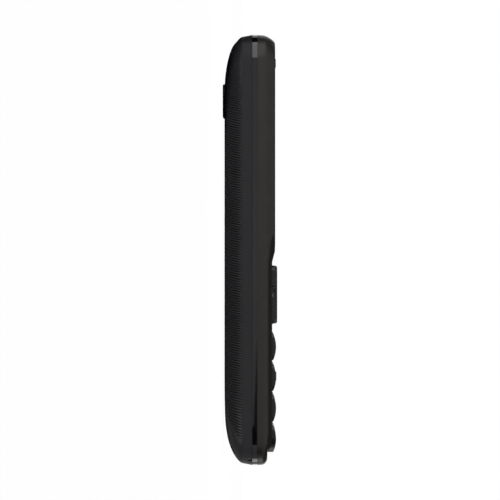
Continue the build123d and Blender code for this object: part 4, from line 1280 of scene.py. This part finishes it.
@dataclass
class FrontShell:
    """Front housing: short wall, chamfer, a step down to the keypad, and an opening for each key.

    The rounding of the face's edge grows from the display end to the keypad, where it rolls far over.
    """

    foot_round: float = 0.04
    wall_blend: float = 0.42
    blend: float = 0.2
    blend_steps: int = 6
    top_swell: Table = (
        (9.4, 0.0), (10.4, 0.17), (11.4, 0.3), (12.4, 0.34), (13.0, 0.36), (13.5, 0.26), (14.0, 0.0),
    )
    low_swell: Table = ((9.4, 0.0), (10.5, 0.22), (11.4, 0.26), (12.0, 0.1), (12.6, 0.0))
    swell_zone: Zone = (50.0, 55.5)
    both_ends_rows: tuple[float, ...] = (10.0,)
    top_end_rows: tuple[float, ...] = (12.3, 12.7, 13.1)
    row_snap: float = 0.01
    level: float = 0.99
    face_line: Table = ((-60.0, KEYPAD_FACE), (-3.2, KEYPAD_FACE), (-0.3, DISPLAY_FACE), (60.0, DISPLAY_FACE))
    round_across: Table = (
        (-0.3, 2.23), (0.4, 1.95), (1.0, 1.4), (1.6, 1.15), (2.8, 0.85), (4.0, 0.62), (4.6, 0.5),
    )
    round_down: Table = (
        (-3.2, 2.23), (-0.3, 2.8), (0.4, 2.85), (1.0, 2.75), (1.6, 2.5), (2.2, 2.2), (2.8, 1.85), (3.4, 1.45),
        (4.0, 1.0), (4.6, 0.5),
    )
    rows: tuple[float, ...] = (4.6, 4.0, 3.4, 2.8, 2.2, 1.6, 1.0, 0.4, -0.3, -1.0, -1.7, -2.4, -3.2)
    round_steps: int = 8
    collar: float = 2.0
    trim_depth: float = 0.003
    trim_reach: float = 30.0
    trim_overrun: float = 10.0
    above: float = 19.0
    hollow_step: float = -1.6
    hollow_overlap: float = 0.001
    hollow_foot: float = 4.35
    recess_clearance: float = 0.1
    recess_floor: float = 13.0
    display_opening: Slab = Slab(32.4, 43.2, BAND_FRONT, DISPLAY_FACE, y=DISPLAY_Y)
    earpiece_opening: Slab = Slab(9.0, 1.2, BAND_FRONT, DISPLAY_FACE, y=EARPIECE_Y)
    edge: float = 0.09

    def build(self) -> None:
        """Builds the shell."""
        openings = [self.display_opening.mesh(), self.earpiece_opening.mesh(), *key_openings()]
        low_step = self.hollow_step - self.hollow_overlap
        shell = carve(
            carve(self.outside(), self.above_face()),
            keep_side(outline_block(HOLLOW, self.hollow_foot, DISPLAY_CEILING), self.hollow_step, 1),
            keep_side(outline_block(HOLLOW, self.hollow_foot, KEYPAD_CEILING), low_step, -1),
            outline_block(WINDOW.inset(-self.recess_clearance), self.recess_floor, self.above),
            together(*openings),
        )
        place(
            shell, "front_shell", FRONT_SHELL, "phone", ["front_housing"],
            edge=self.edge,
        )

    def outside(self) -> BMesh:
        """The shell's outer form as a solid block that runs on above the face.

        Returns:
            A new mesh.
        """
        rings = [
            RIM.inset(self.foot_round).ring(BAND_FRONT, self.rows),
            RIM.ring(BAND_FRONT + self.foot_round, self.rows),
            *self.shoulder_rings(),
            *self.edge_rings(),
        ]
        rings.append([(x, y, DISPLAY_FACE + self.collar) for x, y, _ in rings[-1]])
        bm = bmesh.new()
        skin(bm, rings)
        self.swell(bm)
        return bm

    def shoulder_rings(self) -> list[list[Place]]:
        """Rings of the soft bend between the wall and the chamfer.

        Returns:
            The rings, the lowest first.
        """
        low, high = RIM.towards(SHOULDER_EDGE, 1 - self.wall_blend), SHOULDER_EDGE.towards(FACE, self.blend)
        low_z = SHOULDER - (SHOULDER - BAND_FRONT) * self.wall_blend
        high_z = SHOULDER + (DISPLAY_FACE - SHOULDER) * self.blend
        rings = []
        for step in range(self.blend_steps + 1):
            share = step / self.blend_steps
            outline = low.towards(SHOULDER_EDGE, share).towards(SHOULDER_EDGE.towards(high, share), share)
            first, second = low_z + (SHOULDER - low_z) * share, SHOULDER + (high_z - SHOULDER) * share
            rings.append(outline.ring(first + (second - first) * share, self.rows))
        return rings

    def edge_rings(self) -> list[list[Place]]:
        """Rings of the rounding between the chamfer and the face, whose size follows the length.

        Returns:
            The rings, the lowest first.
        """
        slope_z = DISPLAY_FACE - SHOULDER
        lean = atan2(slope_z, SHOULDER_EDGE.half_width - FACE.half_width)
        reach = (1 - cos(lean)) / sin(lean)
        edge, foot, inner = (
            outline.ring(0.0, self.rows) for outline in (FACE, SHOULDER_EDGE, FACE.inset(1.0))
        )
        rings = []
        for step in range(self.round_steps + 1):
            share = step / self.round_steps
            turn = lean * (1 - share)
            ring = []
            for (x, y, _), (foot_x, foot_y, _), (inner_x, inner_y, _) in zip(edge, foot, inner):
                face = table_at(self.face_line, y)
                down = table_at(self.round_down, y)
                out = (DISPLAY_FACE - face) / slope_z
                size = down + (table_at(self.round_across, y) - down) * share
                inset = (reach - sin(turn)) * size
                ring.append(
                    (
                        x + (foot_x - x) * out + (inner_x - x) * inset,
                        y + (foot_y - y) * out + (inner_y - y) * inset,
                        face - (1 - cos(turn)) * down,
                    )
                )
            rings.append(ring)
        return rings

    def swell(self, bm: BMesh) -> None:
        """Makes the two ends a little fuller than a straight chamfer.

        Args:
            bm: The outer form.
        """
        start = self.swell_zone[0]
        for height in self.both_ends_rows + self.top_end_rows:
            low = start if height in self.top_end_rows else BAND.bottom
            ends = [
                face for face in bm.faces
                if min(abs(v.co.y) for v in face.verts) > start
                and abs(face.normal.z) < self.level
                and face.calc_center_median().y > low
            ]
            parts = [v for face in ends for v in face.verts] + [e for face in ends for e in face.edges]
            geom = [*dict.fromkeys(parts), *ends]
            bmesh.ops.bisect_plane(
                bm, geom=geom, plane_co=(0, 0, height), plane_no=(0, 0, 1), dist=self.row_snap
            )
        for vert in bm.verts:
            table, way = (self.top_swell, 1) if vert.co.y > 0 else (self.low_swell, -1)
            share = smooth_step(abs(vert.co.y), *self.swell_zone)
            vert.co.y += way * share * table_at(table, vert.co.z)
        bm.normal_update()

    def above_face(self) -> BMesh:
        """Everything above the face: level over the display, a slope, and level over the keypad.

        Returns:
            A new mesh.
        """
        bm = bmesh.new()
        low, high = self.face_line[0][0] - self.trim_overrun, self.face_line[-1][0] + self.trim_overrun
        line = [(low, KEYPAD_FACE), *self.face_line[1:-1], (high, DISPLAY_FACE)]
        corners = [bm.verts.new((-self.trim_reach, y, z - self.trim_depth)) for y, z in line]
        corners += [bm.verts.new((-self.trim_reach, y, self.above)) for y in (high, low)]
        edges = [bm.edges.new(pair) for pair in zip(corners, corners[1:] + corners[:1])]
        bmesh.ops.contextual_create(bm, geom=corners + edges)
        made = bmesh.ops.extrude_face_region(bm, geom=bm.faces[:])["geom"]
        across = (2 * self.trim_reach, 0, 0)
        bmesh.ops.translate(bm, vec=across, verts=[g for g in made if isinstance(g, BMVert)])
        bmesh.ops.recalc_face_normals(bm, faces=bm.faces[:])
        return bm


# Keypad.


KEY_CORNER = 1.2
OUTER_CORNER = 4.0
KEY_CLEARANCE = 0.15
OPENING_FRONT = 18.25
KEY_POST = Slab(3.0, 3.0, 9.8, KEY_FOOT)


@dataclass(frozen=True)
class Key:
    """One key: where it is, how large, how crowned, and what is printed on it.

    Outer is the side, -1 or 1, whose lower corner follows the phone's own corner.
    """

    name: str
    x: float
    y: float
    width: float
    length: float
    crown: float
    outer: int = 0
    mark: str = ""

    def prism(self, back: float, front: float, grow: float) -> BMesh:
        """The key's outline as a block round zero, grown on every side.

        Args:
            back: Lowest height.
            front: Highest height.
            grow: How much it grows on each side.

        Returns:
            A new mesh.
        """
        own = (self.outer, OUTER_CORNER + grow) if self.outer else None
        width, length = self.width + 2 * grow, self.length + 2 * grow
        return block(width, length, back, front, KEY_CORNER + grow, own_corner=own)


COLUMNS = (-14.8, 0.0, 14.8)
ROWS = (-25.85, -34.05, -42.25, -50.45)
# Width, length and crown radius of a number key.
NUMBER_SIZE = (13.8, 7.2, 8.7)
SIGN_NAMES = {"*": "star", "#": "hash"}
NUMBER_KEYS = tuple(
    Key(f"key_{SIGN_NAMES.get(mark, mark)}", x, y, *NUMBER_SIZE, side if y == ROWS[-1] else 0, mark)
    for y, marks in zip(ROWS, ("123", "456", "789", "*0#"))
    for side, x, mark in zip((-1, 0, 1), COLUMNS, marks)
)
SIDE_KEYS = (
    Key("soft_key_left", -15.8, -7.3, 11.8, 6.2, 12.0),
    Key("soft_key_right", 15.8, -7.3, 11.8, 6.2, 12.0),
    Key("call_key", -15.8, -15.6, 11.8, 8.4, 12.0),
    Key("end_key", 15.8, -15.6, 11.8, 8.4, 12.0),
)
# The direction pad seen from the front, with the heights that its opening is cut between.
PAD = Slab(17.8, 15.6, BAND_FRONT, OPENING_FRONT, y=-12.0, corner=4.0)


def key_openings() -> list[BMesh]:
    """Holes through the front face for the keys and the pad, each larger than what stands in it.

    Returns:
        A cutter for each hole.
    """
    holes = []
    for key in NUMBER_KEYS + SIDE_KEYS:
        hole = key.prism(BAND_FRONT, OPENING_FRONT, KEY_CLEARANCE)
        shift(hole, key.x, key.y)
        holes.append(hole)
    grown = PAD._replace(
        width=PAD.width + 2 * KEY_CLEARANCE,
        length=PAD.length + 2 * KEY_CLEARANCE,
        corner=PAD.corner + KEY_CLEARANCE,
    )
    return [*holes, grown.mesh()]


@dataclass
class Keypad:
    """The crowned keys beside and below the pad, each on its own body."""

    peak: float = 14.28
    rim: float = 0.25
    rim_top: float = 11.65
    edge: float = 0.34
    edge_steps: int = 4
    crown_rows: int = 12
    crown_foot: float = 0.5
    bend: float = 0.5
    crease: float = 50.0
    pip_key: str = "key_5"
    pip_form: Rod = Rod(1.2, 14.08, 14.44, segments=40)
    pip_edge: float = 0.1
    pip_steps: int = 3
    mark_size: float = 3.6
    mark_x: float = -3.3
    mark_x_beside_pip: float = -4.0
    star_size: float = 4.4
    star_drop: float = 0.6
    film: float = 0.02
    film_rows: int = 9
    film_pitch: float = 0.45
    film_crease: float = 60.0

    def build(self) -> None:
        """Builds every key with its print."""
        for key in NUMBER_KEYS + SIDE_KEYS:
            parts = [self.cap(key), KEY_POST._replace(x=key.x, y=key.y).mesh()]
            if key.name == self.pip_key:
                parts.append(self.pip(key))
            place(
                together(*parts), f"cap_{key.name}", KEY_CAPS, key.name, [key.name],
                crease=self.crease,
            )
            if key.mark:
                self.print_mark(key)

    def crown_at(self, key: Key, y: float) -> float:
        """Height of a key's crown at a distance from its middle."""
        return self.peak - key.crown + sqrt(key.crown**2 - y**2)

    def cap(self, key: Key) -> BMesh:
        """The cap: its retaining rim, its straight wall and its crown with a soft edge.

        Args:
            key: Which key.

        Returns:
            A new mesh.
        """
        bm = key.prism(KEY_FOOT, self.rim_top, self.rim)
        top = faces_up(bm)
        bmesh.ops.inset_region(bm, faces=top, thickness=self.rim, use_even_offset=True)
        raise_faces(bm, top, self.peak - self.rim_top)
        slice_across(bm, 1, spread(self.crown_rows, key.length / self.crown_rows))
        for vert in bm.verts:
            if vert.co.z > self.rim_top + self.crown_foot:
                vert.co.z = self.crown_at(key, vert.co.y)
        bm.normal_update()
        lip = [
            edge
            for edge in edges_past(bm, self.rim_top + self.crown_foot)
            if len(edge.link_faces) == 2
            and abs(edge.link_faces[0].normal.z - edge.link_faces[1].normal.z) > self.bend
        ]
        soften(bm, lip, self.edge, self.edge_steps)
        shift(bm, key.x, key.y)
        return bm

    def pip(self, key: Key) -> BMesh:
        """Raised pip on the middle key.

        Args:
            key: Which key.

        Returns:
            A new mesh.
        """
        bm = self.pip_form._replace(x=key.x, y=key.y).mesh()
        soften(bm, edges_past(bm, self.peak), self.pip_edge, self.pip_steps)
        return bm

    def print_mark(self, key: Key) -> None:
        """Prints a key's number as a thin film of ink that follows the crown.

        Args:
            key: Which key.
        """
        star = key.mark == "*"
        film = text_mesh(key.mark, self.star_size if star else self.mark_size, self.film)
        slice_across(film, 1, spread(self.film_rows, self.film_pitch))
        x = self.mark_x_beside_pip if key.name == self.pip_key else self.mark_x
        for vert in film.verts:
            vert.co.y -= self.star_drop if star else 0.0
            vert.co.z += self.crown_at(key, vert.co.y)
        shift(film, key.x + x, key.y)
        place(film, f"print_{key.name}", WHITE_INK, key.name, crease=self.film_crease)


def text_mesh(words: str, size: float, depth: float) -> BMesh:
    """A few characters as a closed mesh, centred on zero.

    Args:
        words: The characters.
        size: Letter height in millimetres.
        depth: Half of the thickness.

    Returns:
        A new mesh.
    """
    curve = bpy.data.curves.new("mark", "FONT")
    curve.body = words
    curve.size = size
    curve.extrude = depth
    curve.align_x = "CENTER"
    curve.align_y = "CENTER"
    holder = bpy.data.objects.new("mark", curve)
    bpy.context.scene.collection.objects.link(holder)
    bpy.context.view_layer.update()
    flat = bpy.data.meshes.new_from_object(holder.evaluated_get(bpy.context.evaluated_depsgraph_get()))
    bm = bmesh.new()
    bm.from_mesh(flat)
    bpy.data.objects.remove(holder)
    bpy.data.curves.remove(curve)
    bpy.data.meshes.remove(flat)
    bmesh.ops.remove_doubles(bm, verts=bm.verts[:], dist=WELD)
    across, along = ([vert.co[axis] for vert in bm.verts] for axis in (0, 1))
    shift(bm, -(min(across) + max(across)) / 2, -(min(along) + max(along)) / 2)
    return bm


@dataclass
class DirectionPad:
    """Flat-topped pad that rocks, with the round select key in its hole."""

    rim: float = 0.25
    rim_height: float = 0.6
    foot: float = 10.75
    front: float = 14.63
    edge: float = 0.5
    edge_steps: int = 5
    hole: Rod = Rod(3.95, 8.0, 16.0, segments=72)
    lip: float = 0.2
    lip_reach: float = 0.1
    lip_steps: int = 3
    near: float = 0.01
    select: Rod = Rod(3.7, KEY_FOOT, 14.35, segments=72)
    select_edge: float = 0.25
    select_steps: int = 4
    dish: float = 0.22
    dish_rings: int = 5
    dish_step: float = 0.62

    def build(self) -> None:
        """Builds the pad and the select key."""
        width, length = PAD.width + 2 * self.rim, PAD.length + 2 * self.rim
        pad = block(width, length, self.foot, self.foot + self.rim_height, PAD.corner + self.rim)
        top = faces_up(pad)
        bmesh.ops.inset_region(pad, faces=top, thickness=self.rim, use_even_offset=True)
        raise_faces(pad, top, self.front - self.foot - self.rim_height)
        pad.normal_update()
        soften(pad, edges_past(pad, self.front - self.near), self.edge, self.edge_steps)
        pad = carve(pad, self.hole.mesh())
        lip = [
            edge for edge in edges_past(pad, self.front - self.near)
            if all(vert.co.xy.length < self.hole.radius + self.lip_reach for vert in edge.verts)
        ]
        soften(pad, lip, self.lip, self.lip_steps)
        shift(pad, 0.0, PAD.y)
        place(pad, "rocking_direction_pad", PAD_CAP, "direction_pad", ["direction_pad"])
        self.build_select()

    def build_select(self) -> None:
        """Builds the select key with a dished top."""
        key = self.select.mesh()
        soften(key, faces_up(key)[0].edges, self.select_edge, self.select_steps)
        for _ in range(self.dish_rings):
            top = max(faces_up(key), key=lambda face: len(face.verts))
            bmesh.ops.inset_region(key, faces=[top], thickness=self.dish_step)
        for vert in key.verts:
            if vert.co.z > self.select.front - self.near:
                share = min(vert.co.xy.length / (self.select.radius - self.select_edge), 1.0)
                vert.co.z -= self.dish * (1 - share**2)
        whole = together(key, KEY_POST.mesh())
        shift(whole, 0.0, PAD.y)
        place(whole, "dished_select_key", KEY_CAPS, "select_key", ["select_key"])


# Display end and island.


@dataclass
class DisplayWindow:
    """Tinted window over the display, with the earpiece trim standing in its slot."""

    back: float = 13.05
    front: float = 14.05
    edge: float = 0.12
    edge_bend: float = 0.3
    seat: Slab = Slab(12.2, 2.4, 12.0, 15.0, y=EARPIECE_Y, corner=1.199)
    trim: Slab = Slab(12.0, 2.2, 13.05, 14.28, corner=1.0999)
    trim_edge: float = 0.14
    trim_steps: int = 3
    near: float = 0.08
    slot: Slab = Slab(1.2, 0.7, 12.0, 15.0, corner=0.349)
    slots: int = 5
    slot_pitch: float = 1.9

    def build(self) -> None:
        """Builds the window and the trim."""
        bend = self.edge * self.edge_bend
        rings = [
            WINDOW.ring(self.back),
            WINDOW.ring(self.front - self.edge),
            WINDOW.inset(bend).ring(self.front - bend),
            WINDOW.inset(self.edge).ring(self.front),
        ]
        bm = bmesh.new()
        skin(bm, rings)
        window = carve(bm, self.seat.mesh())
        place(window, "tinted_display_window", PrintedWindow(), "phone", ["display_window"])
        self.build_trim()

    def build_trim(self) -> None:
        """Builds the earpiece trim with its sound slots."""
        trim = self.trim.mesh()
        soften(trim, edges_past(trim, self.trim.front - self.near), self.trim_edge, self.trim_steps)
        slots = [self.slot._replace(x=x).mesh() for x in spread(self.slots, self.slot_pitch)]
        trim = carve(trim, together(*slots))
        shift(trim, 0.0, EARPIECE_Y)
        place(trim, "earpiece_trim", EARPIECE_STEEL, "phone", ["earpiece_grille"])


@dataclass
class CameraIsland:
    """Low island on the back with the camera window and the loudspeaker's slots."""

    y: float = 40.05
    body: Slab = Slab(26.0, 8.9, 0.0, 1.75, corner=3.2)
    edge: float = 0.4
    edge_steps: int = 5
    rim_edge: float = 0.08
    near: float = 0.01
    steep: float = 0.5
    slot: Slab = Slab(0.9, 5.2, -1.0, 3.0, x=5.4, corner=0.449)
    slots: int = 5
    slot_pitch: float = 1.9
    hollow: Slab = Slab(10.2, 6.9, 1.45, 3.0, x=5.4)
    seat: Rod = Rod(3.35, -1.0, 1.05, -7.4, segments=72)
    sight: Rod = Rod(2.0, 0.5, 3.0, -7.4)
    glass: Rod = Rod(3.3, 0.2, 1.0, -7.4, 40.05, 72)
    glass_edge: float = 0.1

    def build(self) -> None:
        """Builds the island and the camera window."""
        island = self.body.mesh()
        outer = self.body.back + self.near
        soften(island, edges_past(island, outer, -1), self.edge, self.edge_steps)
        places = spread(self.slots, self.slot_pitch)
        slots = [self.slot._replace(x=self.slot.x + x).mesh() for x in places]
        island = carve(island, self.seat.mesh(), self.sight.mesh(), together(*slots), self.hollow.mesh())
        rims = [
            edge for edge in edges_past(island, outer, -1)
            if any(abs(face.normal.z) < self.steep for face in edge.link_faces)
        ]
        soften(island, rims, self.rim_edge, EDGE_STEPS)
        shift(island, 0.0, self.y)
        place(island, "camera_island", ISLAND_ABS, "phone", ["camera_bezel"])
        glass = self.glass.mesh()
        soften(glass, edges_past(glass, self.glass.back + self.near, -1), self.glass_edge, EDGE_STEPS)
        looks = PrintedGlassWithPaintedLensReflection(self.glass.x, self.glass.y, self.glass.radius)
        place(glass, "camera_cover_glass", looks, "phone", ["camera_window"])


# Carried-over nodes and studio.

CARRIED = {
    ("speaker_mesh",): WIRE_MESH,
    ("usb_socket", "battery_contacts"): TINNED_STEEL,
    ("housing_screws",): BLACK_STEEL,
    (
        "shield_cans", "sim_holder", "memory_card_holder", "display_frame", "key_domes", "vibration_motor",
    ): STAMPED_STEEL,
    ("vibration_weight",): TUNGSTEN,
    ("main_board",): SOLDER_MASK,
    ("display_panel",): SCREEN_GLASS,
    ("display_flex",): POLYIMIDE,
    ("loudspeaker", "camera_module", "earpiece_receiver", "microphone"): NYLON,
    ("antenna_carrier",): POLYMER_CARRIER,
    ("keypad_mat", "pad_web"): SILICONE,
    ("battery",): BATTERY_WRAP,
}


def dress_carried_nodes() -> None:
    """Gives every CAD node that stays its procedural material."""
    for names, finish in CARRIED.items():
        for name in names:
            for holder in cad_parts[name].material_slots:
                holder.material = finish.material()
            log.info("%s keeps its solid in %s", name, finish.name)


class Lamp(NamedTuple):
    """A soft box that faces the phone: where it stands, its sizes and its power in watts."""

    name: str
    spot: Place
    width: float
    height: float
    power: float


LAMPS = (
    Lamp("soft_box_above", (-272, 308, 90), 640, 260, 1.0),
    Lamp("soft_box_front", (300, 300, 480), 350, 350, 0.25),
    Lamp("soft_box_below", (60, -400, 60), 200, 120, 0.2),
)
# Corners of the black cards that hold the white surround off the phone's gloss.
CARDS: dict[str, tuple[Place, ...]] = {
    "flag_behind": ((-15, 560, -20), (350, 560, -20), (350, 560, 400), (-15, 560, 400)),
    "flag_low": ((-20, 58.3, 0.2), (300, 58.3, 0.2), (300, 600, 0.2), (-20, 600, 0.2)),
    "flag_beside": (
        (-90, -20, 9.6), (-90, -43, 8.6), (-90, -48.3, 8.4), (-90, -49.5, 7.4), (-90, -54.8, 7.4),
        (-90, -54.8, 9.6),
    ),
    "flag_corner_low": ((-60, -57, -12), (-42, -86, -12), (-42, -86, 7.5), (-60, -57, 7.5)),
    "flag_corner_high": ((-60, -57, 9.7), (-42, -86, 9.7), (-42, -86, 28), (-60, -57, 28)),
    "flag_under": (
        (-16, -56, 0.1), (320, -56, 0.1), (320, 58.3, 0.1), (-24, 58.3, 0.1), (-24, 48, 0.1),
        (-16, 8, 0.1),
    ),
}


@dataclass
class Studio:
    """White table and surround, soft boxes, black cards and the camera at the phone's left."""

    lens: float = 500.0
    sensor: float = 36.0
    clip: Zone = (0.01, 20.0)
    view_width: float = 135.0
    aim: Place = (0.0, 0.0, 7.32)
    floor_size: float = 4000.0
    glow: float = 0.62
    shown: float = 0.7
    fill: float = 0.85
    fill_above: float = 1.8
    front_fill: float = 0.12

    def build(self) -> None:
        """Builds the whole studio."""
        self.surround()
        self.floor()
        for lamp in LAMPS:
            self.hang(lamp)
        for name, corners in CARDS.items():
            self.card(name, corners)
        self.camera()

    def surround(self) -> None:
        """World: white behind the phone and to the camera, and a plain grey room on the camera's side.

        Each range turns one axis of the way that a ray takes into the brightness of a zone.
        """
        bright = self.fill * self.fill_above
        ranges = {
            "behind": ("X", {"From Min": 0.9, "From Max": 0.98}),
            "low behind": ("Y", {"From Min": -0.02, "From Max": 0.06, "To Min": 1.0, "To Max": 0.08}),
            "ceiling": ("X", {"From Min": -0.55, "From Max": 0.2, "To Min": 0.84, "To Max": 0.2}),
            "walls": ("Z", {"From Min": 0.3, "From Max": 0.75, "To Min": self.fill, "To Max": bright}),
            "low end": ("Y", {"From Min": -0.5, "From Max": -0.1, "To Min": 0.75, "To Max": 1.0}),
        }
        world = bpy.data.worlds.new("white_studio")
        bpy.context.scene.world = world
        world.use_nodes = True
        tree = world.node_tree
        tree.nodes.clear()
        way = add_node(tree, "TexCoord").outputs["Generated"]
        axes = add_node(tree, "SeparateXYZ", links={0: way}).outputs
        zones = {
            name: add_node(tree, "MapRange", levels, {"Value": axes[axis]}).outputs["Result"]
            for name, (axis, levels) in ranges.items()
        }
        heights = {0: axes["Z"], 1: zones["ceiling"]}
        rise = add_node(tree, "Math", links=heights, operation="SUBTRACT").outputs[0]
        edge = {"From Min": 0.0, "From Max": 0.13}
        front = add_node(tree, "MapRange", edge, {"Value": rise}).outputs["Result"]
        ahead = add_node(
            tree, "Mix", {3: self.front_fill}, {0: front, 2: zones["walls"]}, data_type="FLOAT"
        ).outputs[0]
        level = add_node(tree, "Math", links={0: ahead, 1: zones["low end"]}, operation="MULTIPLY").outputs[0]
        room = add_node(tree, "Background", {"Color": WHITE}, {"Strength": level}).outputs[0]
        white = add_node(tree, "Background", {"Color": WHITE, "Strength": 1.0}).outputs[0]
        rays = add_node(tree, "LightPath").outputs
        direct = {0: rays["Is Camera Ray"], 1: rays["Is Transmission Ray"]}
        seen = add_node(tree, "Math", links=direct, operation="MAXIMUM").outputs[0]
        low = {0: zones["behind"], 1: zones["low behind"]}
        behind = add_node(tree, "Math", links=low, operation="MULTIPLY").outputs[0]
        share = add_node(tree, "Math", links={0: behind, 1: seen}, operation="MAXIMUM").outputs[0]
        mix = add_node(tree, "MixShader", links={0: share, 1: room, 2: white}).outputs[0]
        add_node(tree, "OutputWorld", links={0: mix})

    def floor(self) -> None:
        """Pale table: white to the camera but for the phone's shadow, and open from below."""
        bm = bmesh.new()
        bmesh.ops.create_grid(bm, x_segments=1, y_segments=1, size=self.floor_size)
        table = self.staged(bm, "table")
        made = bpy.data.materials.new("matt_white_table")
        made.use_nodes = True
        tree = made.node_tree
        tree.nodes.clear()
        ray = add_node(tree, "LightPath").outputs["Is Camera Ray"]
        under = add_node(tree, "NewGeometry").outputs["Backfacing"]
        matt = add_node(tree, "BsdfDiffuse", {"Color": PALE}).outputs[0]
        glow = add_node(tree, "Emission", {"Color": WHITE, "Strength": self.glow}).outputs[0]
        lit = add_node(tree, "AddShader", links={0: matt, 1: glow}).outputs[0]
        table_light = add_node(tree, "MixShader", links={0: ray, 1: matt, 2: lit}).outputs[0]
        open_air = add_node(tree, "BsdfTransparent").outputs[0]
        share = add_node(tree, "Math", {1: self.shown}, {0: ray}, operation="MULTIPLY").outputs[0]
        seen = add_node(tree, "MixShader", links={0: share, 1: table_light, 2: open_air}).outputs[0]
        one_way = add_node(tree, "MixShader", links={0: under, 1: seen, 2: open_air}).outputs[0]
        add_node(tree, "OutputMaterial", links={0: one_way})
        table.data.materials.append(made)

    def staged(self, bm: BMesh, name: str) -> bpy.types.Object:
        """A mesh in millimetres as a piece of the stage.

        Args:
            bm: The mesh, which is freed.
            name: The piece's name.

        Returns:
            The piece's object.
        """
        bm.transform(Matrix.Scale(MM, 4))
        thing = loose_object(bm, name)
        return thing

    def card(self, name: str, corners: Sequence[Place]) -> None:
        """Hangs a black card that shows only in reflections.

        Args:
            name: The card's name.
            corners: Its corners in order.
        """
        bm = bmesh.new()
        verts = [bm.verts.new(corner) for corner in corners]
        edges = [bm.edges.new(pair) for pair in zip(verts, verts[1:] + verts[:1])]
        bmesh.ops.contextual_create(bm, geom=verts + edges)
        card = self.staged(bm, name)
        card.data.materials.append(self.matt_black())
        card.visible_camera = False
        card.visible_diffuse = False
        card.visible_shadow = False

    def matt_black(self) -> bpy.types.Material:
        """The paint of the cards, made once: black without any shine.

        Returns:
            The Blender material.
        """
        known = bpy.data.materials.get("matt_black_card")
        if known:
            return known
        made = bpy.data.materials.new("matt_black_card")
        made.use_nodes = True
        shader = made.node_tree.nodes["Principled BSDF"]
        shader.inputs["Base Color"].default_value = BLACK
        shader.inputs["Specular IOR Level"].default_value = 0.0
        return made

    def hang(self, lamp: Lamp) -> None:
        """Adds one soft box.

        Args:
            lamp: The lamp's description.
        """
        light = bpy.data.lights.new(lamp.name, "AREA")
        light.shape = "RECTANGLE"
        light.size = lamp.width * MM
        light.size_y = lamp.height * MM
        light.energy = lamp.power
        holder = bpy.data.objects.new(lamp.name, light)
        bpy.context.scene.collection.objects.link(holder)
        holder.location = Vector(lamp.spot) * MM
        holder.rotation_euler = (-Vector(lamp.spot)).to_track_quat("-Z", "Y").to_euler()

    def camera(self) -> None:
        """Camera on the user's left, turned so that the phone stands upright in the picture."""
        data = bpy.data.cameras.new("side_camera")
        data.lens = self.lens
        data.sensor_width = self.sensor
        data.clip_start, data.clip_end = self.clip
        camera = bpy.data.objects.new("side_camera", data)
        bpy.context.scene.collection.objects.link(camera)
        away = self.view_width * self.lens / data.sensor_width
        right, up, back = Vector((0, 0, 1)), Vector((0, 1, 0)), Vector((-1, 0, 0))
        turn = Matrix((right, up, back)).transposed().to_4x4()
        camera.matrix_world = Matrix.Translation((Vector(self.aim) + back * away) * MM) @ turn
        bpy.context.scene.camera = camera


def main() -> None:
    """Builds the phone's pieces in order, then the studio."""
    logging.basicConfig(level=logging.INFO, format="%(message)s")
    scene = bpy.context.scene
    scene.view_settings.view_transform = "Standard"
    for part in (
        TrimBand(),
        RearHousing(),
        FrontShell(),
        BatteryCover(),
        Keypad(),
        DirectionPad(),
        DisplayWindow(),
        CameraIsland(),
    ):
        part.build()
        log.info("%s is built", type(part).__name__)
    dress_carried_nodes()
    Studio().build()


if __name__ == "__main__":
    main()
